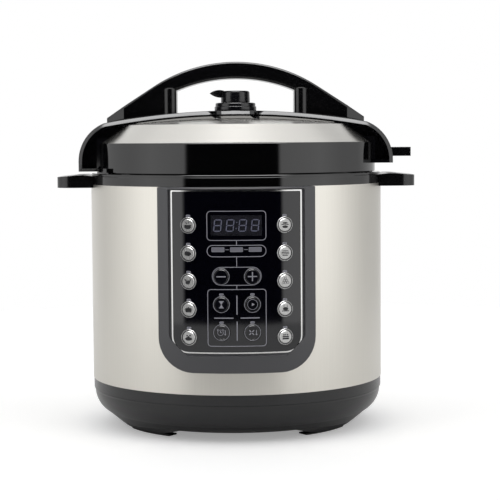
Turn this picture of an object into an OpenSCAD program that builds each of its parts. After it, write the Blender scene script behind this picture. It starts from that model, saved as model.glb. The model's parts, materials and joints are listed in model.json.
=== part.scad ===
// Electric pressure cooker of the six litre class, taken apart into its real pieces.
// Millimetres, +Z up. The origin is on the table under the middle of the drum, the panel faces -Y.
// Everything round shares the drum's axis, so most sizes below are radii or heights.

/* [Drum] */
// Outer radius of the steel wrap
drum_r = 144; // [142:0.5:150]
// Thickness of the steel wrap
wrap_wall = 1; // [0.6:0.1:2]
// Height of the wrap's lower edge above the table
wrap_z = 46.7; // [45:0.1:50]
// Height of the steel wrap
wrap_h = 191.5; // [188:0.5:205]

/* [Base] */
// How far the base stands back from the steel wrap
base_inset = 0.5; // [0.2:0.1:1.5]
// Wall of the moulded base
base_wall = 2.5; // [2:0.1:3.5]
// Radius of the bowl-shaped turn under the base
bowl_r = 24; // [20:0.5:26]
// Height of the groove around the base
groove_z = 35.5; // [34.5:0.1:38]
// Depth of the groove around the base
groove_depth = 0.8; // [0.4:0.1:1.2]
// How far the foot ring stands back from the base's wall
foot_inset = 28.5; // [26.5:0.5:31.5]
// Wall of the foot ring
foot_wall = 3; // [2:0.1:5]
// Height of the base plate's underside above the table
plate_z = 11.5; // [10:0.1:13]
// Thickness of the base plate
plate_t = 2.5; // [2:0.1:3.2]
// Height of the arch between the feet, front and back
foot_arch_h = 6.5; // [4:0.1:8]
// Half the width of the arch between the feet, at the table
foot_arch_w = 73; // [60:0.5:80]
// Highest point of the bowl's lower edge, in the middle of the front
bowl_arch_z = 11.2; // [8:0.1:11.4]
// Radius of the long arch in the bowl's lower edge
bowl_arch_r = 845; // [700:5:1200]
// Thickness of a rubber foot pad
pad_t = 1.5; // [1:0.1:3]
// Radial width of a rubber foot pad
pad_w = 12; // [8:0.5:14]
// Angle that a foot pad spans
pad_angle = 34; // [20:1:40]

/* [Collar and side handles] */
// Height of the collar above the steel wrap
collar_h = 10.8; // [9:0.1:14]
// How far the collar reaches in over the inner pot's rim
collar_lip = 3; // [1.5:0.1:3.5]
// Depth of the gutter that catches condensed water
gutter_depth = 6; // [3:0.1:7]
// Wall of the collar
collar_wall = 3; // [2:0.1:4]
// How far a side handle stands out from the drum
ear_length = 32; // [28:0.5:46]
// Width of a side handle, front to back
ear_w = 72; // [60:1:90]
// Thickness of a side handle
ear_t = 12.5; // [10:0.1:15]
// Width of the finger well under a side handle
ear_well_w = 52; // [40:1:60]

/* [Lid] */
// How far the lid's skirt stands back from the drum
skirt_inset = 5.5; // [5:0.1:7]
// Gap between the skirt and the collar
skirt_gap = 0.5; // [0.3:0.1:1.5]
// Height of the skirt
skirt_h = 28.9; // [27:0.1:31]
// Wall of the skirt
skirt_wall = 2.5; // [1.5:0.1:3.5]
// How far the steel slope stands back from the skirt
slope_inset = 1.5; // [1:0.1:3]
// Width of the steel slope, seen from above
slope_w = 24; // [21:0.5:29]
// Height of the steel slope
slope_h = 17.1; // [14:0.1:19]
// Rise of the crown above the slope
crown_rise = 6.3; // [5:0.1:8]
// Thickness of the pressed steel lid
lid_steel = 1.5; // [1.2:0.1:2]
// How far the lid's steel wall stands back from the skirt's face
lid_wall_inset = 6; // [5.5:0.1:6.5]
// How far the lid's steel wall reaches down behind the skirt
lid_wall_drop = 17.5; // [17:0.1:18.5]

/* [Bayonet lock] */
// Number of bayonet teeth
teeth = 6; // [6:1:6]
// Angle that one tooth spans
tooth_angle = 25; // [18:0.5:27]
// How far the lid's teeth reach in from the outside of its steel wall
tooth_reach = 11; // [10:0.1:11.5]
// How far the cooker's teeth stand back from the outside of the lid's steel wall
tooth_inset = 3.5; // [2.5:0.1:5.5]
// Thickness of a tooth
tooth_t = 2.5; // [2:0.1:3]
// Height between the lid's teeth and the cooker's teeth
tooth_gap = 1; // [0.5:0.1:1.5]

/* [Pots] */
// Width of the inner pot's rim
pot_rim_w = 8.5; // [8:0.5:12.5]
// Wall of the inner pot
pot_wall = 1.2; // [0.8:0.1:2]
// Height of the inner pot
pot_h = 165; // [150:1:168]
// Thickness of the inner pot's sandwich floor
pot_floor = 4; // [3:0.5:6]
// How far the inner pot's rim stands back from the lid's teeth
pot_rim_inset = 1; // [0.8:0.1:2.5]
// Thickness of the rolled rim
pot_rim_t = 3; // [2:0.1:4]
// Bend radius at the inner pot's floor
pot_bend_r = 14; // [8:1:20]
// Gap between the inner pot and the outer pot
pot_gap = 2; // [1.5:0.1:2.3]
// Wall of the outer pot
outer_pot_wall = 1.2; // [0.8:0.1:1.5]

/* [Heating] */
// How far the cast heating plate stands back from the inner pot's wall
heater_inset = 22; // [17:1:32]
// Thickness of the cast heating plate
heater_t = 14; // [10:0.5:16]
// Radius of the temperature sensor's cap
sensor_r = 17.9; // [14:0.1:20]
// How far the sensor can be pressed down
sensor_travel = 2; // [1:0.1:3]

/* [Lid strap and handle] */
// Radius of the strap's long arch
strap_arch_r = 711; // [700:1:760]
// Height of the strap's top above the crown
strap_rise = 7.4; // [7:0.1:8.5]
// Radius of the strap's shoulder
shoulder_r = 39.8; // [38:0.1:41]
// How far the strap's arms stand out from the drum
arm_stand = 9; // [8:0.1:12]
// Half the width of the strap in the middle
strap_half_w = 40; // [38:0.5:42]
// Half the width of the strap's arms
arm_half_w = 44; // [42:0.5:47]
// Thickness of the strap's visible rim
strap_rim = 3.8; // [3:0.1:5]
// Height of the left arm's lower end above the collar
left_arm_gap = 2; // [1.5:0.1:4]
// Height of the right arm's lower end above the collar
right_arm_gap = 8.7; // [7:0.1:10]
// Outer radius of the handle's arch
handle_arch_r = 148; // [145:1:155]
// Height of the handle's top above the strap
handle_rise = 48.1; // [47:0.1:52]
// Thickness of the handle at its top
handle_t = 16.4; // [14:0.1:18]
// Radius of the handle's underside
handle_under_r = 150; // [140:1:160]
// Distance from the axis to the inner face of a handle post
post_x = 58; // [56:0.5:62]
// How far the handle's end stands back from the outside of the strap's arm
handle_end_inset = 24; // [22:0.5:26]
// Half the width of the handle, front to back
handle_half_w = 17; // [14:0.5:20]
// Slope of the handle's straight ends, in degrees
handle_slope = 33; // [32:0.1:35]
// Length of the tab that parks the lid in a side handle
tab_length = 20.5; // [17:0.5:27]
// Width of the parking tab
tab_w = 22; // [16:0.5:30]
// Thickness of the parking tab
tab_t = 8.8; // [7:0.1:10]

/* [Steam valve and float] */
// Radius of the valve's base disc
valve_base_r = 20.8; // [18:0.1:24]
// Height of the valve's base disc
valve_base_h = 8; // [6:0.1:10]
// Radius of the valve knob
knob_r = 14.5; // [12:0.1:16]
// Height of the valve knob
knob_h = 11.4; // [10:0.1:14]
// Reach of the knob's lever from the axis
lever_reach = 25.6; // [22:0.1:30]
// Radius of the valve stem
stem_r = 5; // [4:0.1:6]
// Running clearance around the stem
stem_fit = 0.08; // [0.05:0.01:0.1]
// Radius of the float pin
float_r = 2.5; // [2:0.1:3]
// Travel of the float pin
float_travel = 4; // [2:0.1:5]

/* [Control panel] */
// Width of the panel's frame on each side of the glossy plate
frame_w = 12.8; // [9.8:0.1:14.8]
// Height of the frame's lower edge above the table
panel_z = 67; // [62:0.5:72]
// Radius of the frame's lower corners
panel_corner_r = 32; // [24:0.5:36]
// How far the frame stands proud of the drum
panel_lift = 2.5; // [1.5:0.1:3.5]
// Width of the glossy plate with its trim
plate_w = 120.4; // [119:0.1:124]
// Width of the dark groove around the trim
reveal_w = 2.4; // [1.5:0.1:3]
// Depth of the dark groove around the trim
reveal_depth = 1; // [0.5:0.1:1.5]
// Height of the glossy plate's lower edge above the table
plate_low_z = 85.6; // [83:0.1:88]
// Gap between the glossy plate and the collar
plate_top_gap = 2.8; // [2:0.1:5]
// Radius of the glossy plate's lower corners
plate_corner_r = 14; // [10:0.5:20]
// Width of the bright trim line
trim_w = 1.3; // [1.1:0.1:2.5]
// Width of the display window
window_w = 46.8; // [40:0.1:50]
// Height of the display window
window_h = 18.7; // [15:0.1:20]
// Height of the display's middle above the table
window_z = 203.2; // [200:0.1:208]

/* [Buttons] */
// Distance of a program button column from the middle
column_x = 44.1; // [43:0.1:46]
// Height of the lowest program button above the table
column_z = 100.3; // [99:0.1:104]
// Spacing of the program buttons
button_pitch = 25.75; // [24:0.05:26]
// Radius of a program button
button_r = 7.4; // [6:0.1:8]
// Radius of the raised middle of a program button
button_cap_r = 5.9; // [4.5:0.1:6]
// Distance of a centre button from the middle
centre_x = 14.15; // [13:0.05:15]
// Height of the minus and plus buttons above the table
adjust_z = 156.6; // [154:0.1:160]
// Distance of the upper function buttons below the minus and plus buttons
function_drop = 25.6; // [22.6:0.1:27.6]
// Radius of a centre button
centre_button_r = 7.9; // [6:0.1:8.5]
// Clearance around a button
button_gap = 0.3; // [0.2:0.05:0.5]
// Travel of a button
button_travel = 0.8; // [0.5:0.1:1]
// How far a button stands proud of the plate
button_lift = 1.6; // [1.2:0.1:2.5]

/* [Condensation cup and power inlet] */
// Width of the condensation cup
cup_w = 48; // [40:0.5:54]
// Height of the condensation cup
cup_h = 34; // [28:0.5:40]
// Wall of the condensation cup
cup_wall = 1.6; // [1.2:0.1:2]
// Clearance around the cup in its pocket
cup_gap = 0.8; // [0.5:0.1:1.2]
// How far the cup stands proud of the drum
cup_lift = 7.5; // [6:0.1:8]
// Width of the power inlet's body
inlet_w = 31; // [28:0.5:34]
// Height of the power inlet's body
inlet_h = 24; // [22:0.5:26]
// Height of the power inlet's middle above the table
inlet_z = 66; // [64:0.5:68]

/* [Hidden] */
$fn = 96;

// Shared small values
eps = 0.01;               // overlap that makes two shapes of one piece a single solid
contact = 0.1;            // gap between neighbours that are screwed or pressed together
rest_gap = 0.3;           // gap under a piece that rests on another and can be lifted off
cut = 1;                  // how far a cutting shape runs past the surface it cuts
mount_r = 2.4;            // radius of a screw's clearance hole
far = 400;                // longer than anything on the cooker

// Radii and reaches that follow from the drum
skirt_r = drum_r - skirt_inset;
slope_r = skirt_r - slope_inset;
crown_r = slope_r - slope_w;
lid_wall_r = skirt_r - lid_wall_inset;
tooth_in_r = lid_wall_r - tooth_reach;
tooth_out_r = lid_wall_r - tooth_inset;
pot_rim_r = tooth_in_r - pot_rim_inset;
pot_r = pot_rim_r - pot_rim_w;
outer_pot_r = pot_r + pot_gap + outer_pot_wall;
flange_r = pot_rim_r - 0.5;
collar_in_r = pot_rim_r - collar_lip;
heater_r = pot_r - heater_inset;
heater_stud_r = heater_r - 30;
ear_reach = drum_r + ear_length;
arm_reach = drum_r + arm_stand;
tab_reach = arm_reach + tab_length;
handle_end_x = arm_reach - handle_end_inset;
waist_x = crown_r - 21;                         // where the strap starts to widen
flare_x = skirt_r - 20.5;                       // where it has its full width

// Heights that follow from the driving sizes
wrap_top = wrap_z + wrap_h;
collar_top = wrap_top + collar_h;
skirt_z = collar_top + skirt_gap;
skirt_top = skirt_z + skirt_h;
slope_z = skirt_top + 0.2;
crown_edge_z = slope_z + slope_h;
crown_top = crown_edge_z + crown_rise;
crown_arc_r = (crown_r * crown_r + crown_rise * crown_rise) / (2 * crown_rise);
slope_rate = slope_h / (slope_r - crown_r);
hem_z = skirt_top - 1.3;                        // underside of the lid's hemmed edge
lid_low = skirt_top - lid_wall_drop;            // lower face of the lid's teeth
flange_z = lid_low + tooth_t + tooth_gap;       // lower face of the cooker's flange
flange_top = flange_z + tooth_t;
pot_rim_z = flange_top + rest_gap;
pot_rim_top = pot_rim_z + pot_rim_t;
pot_low = pot_rim_top - pot_h;
strap_top = crown_top + strap_rise;

// Bowl of the base
base_r = drum_r - base_inset;
foot_r = base_r - foot_inset;
bowl_x = base_r - bowl_r - 1.1;                 // centre of the bowl's turn
bowl_turn = 60;                                 // angle of the bowl's turn, in degrees
pan_low = 3.8;                                  // lowest point of the bowl above the table
pan_in_r = foot_r + 0.2;                        // hole in the bowl for the foot ring
pan_lip = 2.8;                                  // width of the bowl's lower edge
ledge_in_r = foot_r - 10;                       // inner radius of the ledge over the base plate
ledge_z = plate_z + plate_t + contact;
screw_ring_r = foot_r - 6;
screw_angles = [20, 90, 160, 200, 270, 340];
screw_head_r = 3.6;
counterbore = 0.4;                              // how far a screw's head is let into the plate
foot_centre = 50;                               // angle of a foot from the front or the back
board_z = 36;                                   // height of the power board

// Heater and sensor
heater_top = pot_low - rest_gap;
heater_low = heater_top - heater_t;
heater_hole_r = sensor_r + 0.6;
floor_z = heater_low + 1.5;                     // outer pot's floor
bracket_top = heater_low - 3;
bracket_t = 2.5;
bracket_r = outer_pot_r - 6;
sensor_top = heater_top - 0.1;
sensor_h = 9;
spring_wire = 1.4;
spring_r = 10;
spring_turns = 4;

// Panel
panel_r = drum_r + panel_lift;
plate_r = panel_r - 0.4;
plate_back_r = drum_r - wrap_wall - 0.6;
plate_top = wrap_top - plate_top_gap;
panel_w = plate_w + 2 * frame_w;
lamp_offset = 7.7;                              // from a button's middle to its lamp
lamp_w = 3.4;
lamp_h = 1.3;
function_z = adjust_z - function_drop;
button_back_r = drum_r - 5.5;
button_flange = 1.3;
flange_extra = 1.2;
switch_gap = 0.2;
board_y = drum_r - 22;                          // distance of the control board from the axis
board_t = 1.6;
digit_h = 11.2;
digit_w = 7.2;
digit_pitch = 11.4;
digit_lean = 6;
stroke = 0.9;
bar_w = 10.8;
bar_h = 3.4;
bar_pitch = 17;
bar_z = window_z - 22;
hem_h = 6;                                      // how far the collar reaches down inside the wrap

// Rear
cup_z = wrap_top - 10 - cup_h;
cup_depth = 24.5;
cup_front_y = drum_r + cup_lift - cup_depth;
pocket_wall = 1.5;
inlet_depth = 24;
inlet_lip = 4;

// Lid pieces
ring_low = pot_rim_top + rest_gap;
ring_out_r = lid_wall_r - 5.5;
slope_factor = 1.25;                            // upright thickness of sloping sheet over its real one
ring_top = slope_z + (slope_r - ring_out_r) * slope_rate - lid_steel * slope_factor - 0.9;
carrier_r = pot_r + 2;
carrier_t = 1.2;
carrier_z = pot_rim_top + 11;
hub_r = 9.5;
hub_rise = 4;
arm_shoulder_x = arm_reach - shoulder_r;
strap_turn_x = handle_end_x - 1.2;              // where the strap's arch meets its shoulder
shoulder_z = arch_z(strap_top, strap_arch_r, strap_turn_x)
    - sqrt(shoulder_r * shoulder_r - (strap_turn_x - arm_shoulder_x) * (strap_turn_x - arm_shoulder_x));
band_end_x = handle_end_x - 19;                 // where the strap's lower band ends
strap_body = 8.5;                               // depth of the strap between rim and lid
lid_clear = 0.25;                               // gap between the strap and the lid's steel
groove_h = 1.5;                                 // dark groove under the strap's rim
groove_in = 6;                                  // depth of the groove and of the arm's recess
bracket_x = skirt_r - 3.5;                      // outer face of an arm's inner wall
clasp_t = 2.5;                                  // thickness of the bracket on the skirt
clasp_angle = 26;                               // how far round it reaches from the left arm
clasp_z = collar_top + 6;
post_w = 12;
stud_r = 2.5;
stud_y = 8;
float_x = 26;
float_y = 50;
knob_z = strap_top + contact + valve_base_h + 0.4;
stem_top = knob_z + 7;
stem_low = carrier_z - 9;

// ---- Helpers ----

// Points of an arc, from angle a0 to angle a1 in n steps
function arc(cx, cy, r, a0, a1, n = 12) =
    [for (i = [0 : n]) let (a = a0 + (a1 - a0) * i / n) [cx + r * cos(a), cy + r * sin(a)]];

// Height of a long arch of radius r whose top is at z_top, at distance x from the middle
function arch_z(z_top, r, x) = z_top - r + sqrt(r * r - x * x);

// Height of the lid's upper surface at distance x from the axis, on the crown
function crown_z(x) = arch_z(crown_top, crown_arc_r, x);

module tube(r_out, r_in, z0, z1) {
    translate([0, 0, z0])
        difference() {
            cylinder(r = r_out, h = z1 - z0);
            translate([0, 0, -cut])
                cylinder(r = r_in, h = z1 - z0 + 2 * cut);
        }
}

module disc(r, z0, z1) {
    translate([0, 0, z0])
        cylinder(r = r, h = z1 - z0);
}

module block(x0, x1, y0, y1, z0, z1) {
    translate([x0, y0, z0])
        cube([x1 - x0, y1 - y0, z1 - z0]);
}

// A sector of a ring, centred on the angle given
module sector(r_in, r_out, z0, z1, centre, angle) {
    rotate([0, 0, centre - angle / 2])
        rotate_extrude(angle = angle)
            translate([r_in, z0])
                square([r_out - r_in, z1 - z0]);
}

// Upright outline with lower corners of radius r_low and nearly square upper corners
module shield_shape(w, z0, z1, r_low, r_top = 1) {
    translate([-w / 2, z0 + r_low])
        square([w, z1 - z0 - r_low - r_top]);
    translate([-w / 2 + r_low, z0])
        square([w - 2 * r_low, r_low + eps]);
    translate([-w / 2 + r_top, z1 - r_top - eps])
        square([w - 2 * r_top, r_top + eps]);
    for (side = [-1, 1]) {
        translate([side * (w / 2 - r_low), z0 + r_low])
            circle(r = r_low);
        translate([side * (w / 2 - r_top), z1 - r_top])
            circle(r = r_top);
    }
}

module pill_shape(w, h) {
    translate([-(w - h) / 2, -h / 2])
        square([w - h, h]);
    for (side = [-1, 1])
        translate([side * (w - h) / 2, 0])
            circle(r = h / 2);
}

// An upright outline pushed through the front of the drum and kept between two radii
module on_drum(r_in, r_out) {
    intersection() {
        tube(r_out, r_in, 0, far);
        rotate([90, 0, 0])
            linear_extrude(height = r_out + cut)
                children();
    }
}

// Places a shape that is drawn upright on Z so that Z points out of the panel at (x, z)
module at_panel(x, z) {
    translate([0, 0, z])
        rotate([0, 0, asin(x / plate_r)])
            rotate([90, 0, 0])
                children();
}

// ---- Base ----

module bowl_section() {
    outer = arc(bowl_x, groove_z - 0.5, bowl_r, -1, -bowl_turn);
    inner = arc(bowl_x, groove_z - 0.5, bowl_r - base_wall, -bowl_turn, 0);
    polygon(concat(
        [
            [base_r, wrap_z - eps],
            [base_r, groove_z + 1.2],
            [base_r - groove_depth, groove_z + 0.7],
            [base_r - groove_depth, groove_z - 0.3],
        ],
        outer,
        [
            [pan_in_r + pan_lip, pan_low],
            [pan_in_r, pan_low],
            [pan_in_r, pan_low + base_wall],
            [pan_in_r + pan_lip - 1, pan_low + base_wall],
        ],
        inner,
        [
            [base_r - base_wall - 0.6, groove_z + 4],
            [base_r - base_wall - 0.6, wrap_z + 8],
            [base_r - base_wall + 1.2, wrap_z + 8],
            [base_r - base_wall + 1.2, wrap_z - eps],
        ]
    ));
}

module base_pan() {
    boss_h = board_z - ledge_z;
    color("#1d1d20")
        difference() {
            union() {
                rotate_extrude()
                    bowl_section();
                tube(bowl_x + 0.45 * bowl_r, ledge_in_r, ledge_z, ledge_z + base_wall);
                for (a = screw_angles)
                    rotate([0, 0, a])
                        translate([screw_ring_r, 0, ledge_z])
                            cylinder(r = 4.5, h = boss_h);
            }
            translate([0, -far / 2, bowl_arch_z - bowl_arch_r])
                rotate([-90, 0, 0])
                    cylinder(r = bowl_arch_r, h = far, $fn = 360);
            for (a = screw_angles)
                rotate([0, 0, a])
                    translate([screw_ring_r, 0, ledge_z - cut])
                        cylinder(r = 1.7, h = boss_h);
            inlet_hole();
        }
}

module foot_ring() {
    slot_w = 4;
    slot_r0 = 40;
    slot_r1 = 88;
    color("#151518")
        difference() {
            union() {
                tube(foot_r, foot_r - foot_wall, pad_t, plate_z + plate_t);
                disc(foot_r - foot_wall + eps, plate_z, plate_z + plate_t);
                for (side = [0, 180], turn = [-foot_centre, foot_centre])
                    sector(foot_r - pad_w - 2, foot_r, pad_t, plate_z + eps, side + turn - 90,
                        pad_angle);
                for (x = [-46, 46], y = [-34, 34])
                    translate([x, y, plate_z])
                        cylinder(r = 4, h = board_z - plate_z);
            }
            // arch between the feet, front and back
            rotate([90, 0, 0])
                linear_extrude(height = 2 * far, center = true)
                    polygon([
                        [-foot_arch_w, -cut], [-foot_arch_w, pad_t],
                        [-foot_arch_w + 18, foot_arch_h], [foot_arch_w - 18, foot_arch_h],
                        [foot_arch_w, pad_t], [foot_arch_w, -cut],
                    ]);
            for (a = [0 : 30 : 330])
                rotate([0, 0, a + 15])
                    translate([slot_r0, -slot_w / 2, plate_z - cut])
                        cube([slot_r1 - slot_r0, slot_w, plate_t + 2 * cut]);
            for (a = screw_angles)
                rotate([0, 0, a])
                    translate([screw_ring_r, 0, -cut])
                        cylinder(r = mount_r, h = plate_z + plate_t + 2 * cut);
            for (a = screw_angles)
                rotate([0, 0, a])
                    translate([screw_ring_r, 0, -cut])
                        cylinder(r = screw_head_r + 0.6, h = plate_z + counterbore + cut);
        }
}

module foot_pads() {
    color("#0c0c0d")
        for (side = [0, 180], turn = [-foot_centre, foot_centre])
            sector(foot_r - pad_w - 1, foot_r - 1, 0, pad_t, side + turn - 90, pad_angle - 4);
}

module base_screws() {
    head_top = plate_z + counterbore - contact;
    color("#9a9a9e")
        for (a = screw_angles)
            rotate([0, 0, a])
                translate([screw_ring_r, 0, 0]) {
                    disc(screw_head_r, head_top - 2.3, head_top);
                    disc(1.6, head_top - eps, plate_z + 18);
                }
}

// ---- Drum ----

module panel_hole(extra = 0) {
    on_drum(drum_r - 8, drum_r + 8)
        shield_shape(panel_w - 6 + extra, panel_z + 3, wrap_top + 20, panel_corner_r - 3);
}

module inlet_hole() {
    block(-inlet_w / 2 - 0.3, inlet_w / 2 + 0.3, 0, far,
        inlet_z - inlet_h / 2 - 0.3, inlet_z + inlet_h / 2 + 0.3);
}

module cup_hole() {
    block(-cup_w / 2 - cup_gap - pocket_wall - 0.2, cup_w / 2 + cup_gap + pocket_wall + 0.2,
        0, far, cup_z - cup_gap - pocket_wall - 0.2, cup_z + cup_h + 3.2);
}

module steel_wrap() {
    color("#cfccc6")
        difference() {
            tube(drum_r, drum_r - wrap_wall, wrap_z, wrap_top);
            panel_hole();
            inlet_hole();
            cup_hole();
        }
}

module collar_section() {
    edge = 1;
    outer = drum_r;
    hem_r = outer - 1.2;
    polygon(concat(
        [
            [hem_r, wrap_top - hem_h],
            [hem_r, wrap_top + 0.05],
            [outer, wrap_top + 0.05],
            [outer, collar_top - 2.6],
            [outer - 0.5, collar_top - 2.2],
        ],
        arc(outer - 0.5 - edge, collar_top - edge, edge, 0, 90, 4),
        [
            [skirt_r - skirt_wall - 1, collar_top],
            [skirt_r - skirt_wall - 2, collar_top - gutter_depth],
            [collar_in_r + collar_wall, collar_top - gutter_depth],
            [collar_in_r + collar_wall - 0.5, collar_top + 4],
            [collar_in_r, collar_top + 4],
            [collar_in_r, collar_top - gutter_depth - collar_wall],
            [hem_r - collar_wall, collar_top - gutter_depth - collar_wall],
            [hem_r - collar_wall, wrap_top - hem_h],
        ]
    ));
}

module collar_ring() {
    color("#18181b")
        difference() {
            rotate_extrude()
                collar_section();
            // drain over the condensation cup
            translate([0, (skirt_r - skirt_wall + collar_in_r) / 2, collar_top - 20])
                cylinder(r = 3, h = 40);
            // seat of the panel behind the collar's inner rim
            panel_notch = panel_w / 2 + 1;
            cup_notch = cup_w / 2 + 3;
            block(-panel_notch, panel_notch, -drum_r - cut, -collar_in_r, wrap_top - hem_h - cut,
                wrap_top);
            block(-cup_notch, cup_notch, collar_in_r, drum_r + cut, wrap_top - hem_h - cut,
                wrap_top);
        }
}

// One side handle, drawn on the +X side
module ear() {
    ear_z = wrap_top - 3.2;
    end_r = 16;
    difference() {
        intersection() {
            union() {
                block(0, ear_reach - end_r, -ear_w / 2, ear_w / 2, ear_z, ear_z + ear_t + 1);
                block(0, ear_reach, -ear_w / 2 + end_r, ear_w / 2 - end_r, ear_z,
                    ear_z + ear_t + 1);
                for (side = [-1, 1])
                    translate([ear_reach - end_r, side * (ear_w / 2 - end_r), ear_z])
                        cylinder(r = end_r, h = ear_t + 1);
            }
            // crowned top and square ends
            rotate([90, 0, 0])
                linear_extrude(height = far, center = true)
                    polygon([
                        [drum_r - 8, ear_z],
                        [ear_reach + cut, ear_z],
                        [ear_reach + cut, ear_z + ear_t - 2.1],
                        [ear_reach - 9, ear_z + ear_t - 1.2],
                        [ear_reach - 19, ear_z + ear_t - 0.2],
                        [ear_reach - 26, ear_z + ear_t],
                        [drum_r + 2, ear_z + ear_t - 0.6],
                        [drum_r - 8, ear_z + ear_t - 1.5],
                    ]);
        }
        disc(drum_r + contact, 0, far);
        // finger well from below
        block(drum_r - 5, ear_reach - 10, -ear_well_w / 2, ear_well_w / 2, ear_z - cut,
            ear_z + ear_t - 3.5);
        // slot that the parking tab drops into
        block(drum_r + 6, drum_r + 6 + tab_t + 1.5, -tab_w / 2 - 0.8, tab_w / 2 + 0.8,
            ear_z - cut, ear_z + ear_t + 2);
    }
}

module ear_left() {
    color("#17171a")
        mirror([1, 0, 0])
            ear();
}

module ear_right() {
    color("#17171a")
        ear();
}

// Rib on the collar that stops the lid's left arm when the lid is locked
module closing_stop() {
    rib_in = skirt_r + 0.8;
    rib_out = drum_r - 1.6;
    stop_angle = asin((arm_half_w + 0.4) / rib_in);
    foot_top = collar_top + 1.4;
    rib_top = collar_top + 5.2;
    color("#2a2a2d") {
        sector(rib_in - 0.3, rib_out + 0.3, collar_top + contact, foot_top, 180 + stop_angle + 7, 12);
        sector(rib_in, rib_out, foot_top - 0.5, rib_top, 180 + stop_angle + 2.2, 1.8);
        sector(rib_in, rib_out, foot_top - 0.5, rib_top, 180 + stop_angle + 9.5, 3.4);
    }
}

// ---- Pots and heater ----

module outer_pot() {
    in_r = outer_pot_r - outer_pot_wall;
    color("#b9b9b4") {
        difference() {
            union() {
                tube(outer_pot_r, in_r, floor_z, flange_z + eps);
                tube(flange_r, in_r, flange_z, flange_top);
                for (i = [0 : teeth - 1])
                    sector(flange_r - 1, tooth_out_r, flange_z, flange_top,
                        (i + 0.5) * 360 / teeth, tooth_angle);
                tube(outer_pot_r - eps, heater_r + 2, floor_z - outer_pot_wall, floor_z + eps);
                // stays that carry the pot on the base
                for (a = [45 : 90 : 315])
                    rotate([0, 0, a])
                        block(ledge_in_r + 2, ledge_in_r + 4, -8, 8, ledge_z + base_wall + contact,
                            floor_z - outer_pot_wall + eps);
            }
        }
    }
}

module heating_plate() {
    color("#a8a9ab")
        difference() {
            union() {
                disc(heater_r, heater_low, heater_top);
                for (a = [30, 150, 270])
                    rotate([0, 0, a])
                        translate([heater_stud_r, 0, bracket_top])
                            cylinder(r = 6, h = heater_low - bracket_top + eps);
                // terminals of the cast-in heating element
                for (x = [-9, 9])
                    translate([x, -heater_r + 16, heater_low - 12])
                        cylinder(r = 2.2, h = 13);
            }
            disc(heater_hole_r, heater_low - cut, heater_top + cut);
        }
}

module heater_bracket() {
    color("#8f9092")
        difference() {
            union() {
                disc(bracket_r, bracket_top - bracket_t, bracket_top);
                // rim that is screwed to the outer pot's floor
                tube(bracket_r, heater_r + 4, bracket_top - eps, floor_z - outer_pot_wall - contact);
                for (x = [-1, 1])
                    block(x * 24 - 1, x * 24 + 1, -14, 14, bracket_top - 12,
                        bracket_top - bracket_t + eps);
            }
            disc(4, bracket_top - bracket_t - cut, bracket_top + cut);
            for (x = [-9, 9])
                translate([x, -heater_r + 16, bracket_top - bracket_t - cut])
                    cylinder(r = 5, h = bracket_t + 2 * cut);
            for (a = [45 : 90 : 315])
                rotate([0, 0, a])
                    block(ledge_in_r - 1, ledge_in_r + 8, -10, 10, 0, far);
            for (a = [0 : 60 : 300])
                rotate([0, 0, a])
                    translate([44, 0, bracket_top - bracket_t - cut])
                        cylinder(r = 9, h = bracket_t + 2 * cut);
        }
}

// A round wire wound on a cylinder, as one closed skin
module wire_coil(coil_r, wire_r, pitch, turns, steps, sides) {
    n = turns * steps;
    points = [
        for (i = [0 : n], k = [0 : sides - 1])
            let (a = 360 * i / steps, b = 360 * k / sides)
            [
                (coil_r + wire_r * cos(b)) * cos(a),
                (coil_r + wire_r * cos(b)) * sin(a),
                pitch * i / steps + wire_r * sin(b),
            ]
    ];
    sides_faces = [
        for (i = [0 : n - 1], k = [0 : sides - 1])
            let (m = (k + 1) % sides)
            [i * sides + k, (i + 1) * sides + k, (i + 1) * sides + m, i * sides + m]
    ];
    start = [for (k = [0 : sides - 1]) k];
    end = [for (k = [0 : sides - 1]) n * sides + sides - 1 - k];
    polyhedron(points, concat(sides_faces, [start], [end]), convexity = 6);
}

module sensor_spring() {
    spring_low = bracket_top + contact + spring_wire / 2;
    spring_high = sensor_top - 1.5 - contact - spring_wire / 2;
    color("#c8c8ca")
        translate([0, 0, spring_low])
            wire_coil(spring_r, spring_wire / 2, (spring_high - spring_low) / spring_turns,
                spring_turns, 16, 6);
}

module sensor_cap() {
    color("#c2c2c0")
        union() {
            disc(sensor_r, sensor_top - 1.5, sensor_top);
            tube(sensor_r, sensor_r - 1.5, sensor_top - sensor_h, sensor_top - 1.5 + eps);
        }
}

module pressure_switch() {
    color("#d8d2c4")
        block(-23 + contact, 23 - contact, -11, 11, bracket_top - 20,
            bracket_top - bracket_t - contact);
}

module thermal_fuse() {
    color("#e6e3da")
        translate([0, heater_stud_r - 2, bracket_top - bracket_t - contact - 4])
            rotate([0, 90, 0])
                cylinder(r = 4, h = 30, center = true);
}

// ---- Electronics ----

module power_board() {
    top = board_z + contact + board_t;
    color("#2f6b45") {
        block(-54, 54, -42, 42, board_z + contact, top);
        block(-48, -26, -12, 12, top - eps, top + 16);
        block(20, 40, -30, -6, top - eps, top + 20);
        translate([-10, 20, top - eps])
            cylinder(r = 9, h = 22);
        block(8, 40, 12, 32, top - eps, top + 12);
    }
}

module control_board() {
    low_z = plate_low_z + 6;
    high_z = plate_top - 8;
    half_w = 55;
    color("#2f6b45")
        union() {
            block(-half_w, half_w, -board_y, -board_y + board_t, low_z, high_z);
            for (side = [-1, 1], row = [0 : 4])
                switch_at(side * column_x, column_z + row * button_pitch);
            for (side = [-1, 1]) {
                switch_at(side * centre_x, adjust_z);
                switch_at(side * centre_x, function_z);
                switch_at(side * centre_x, function_z - button_pitch);
            }
            block(-24, 24, -board_y - 12, -board_y + eps, window_z - 9, window_z + 9);
        }
}

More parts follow.
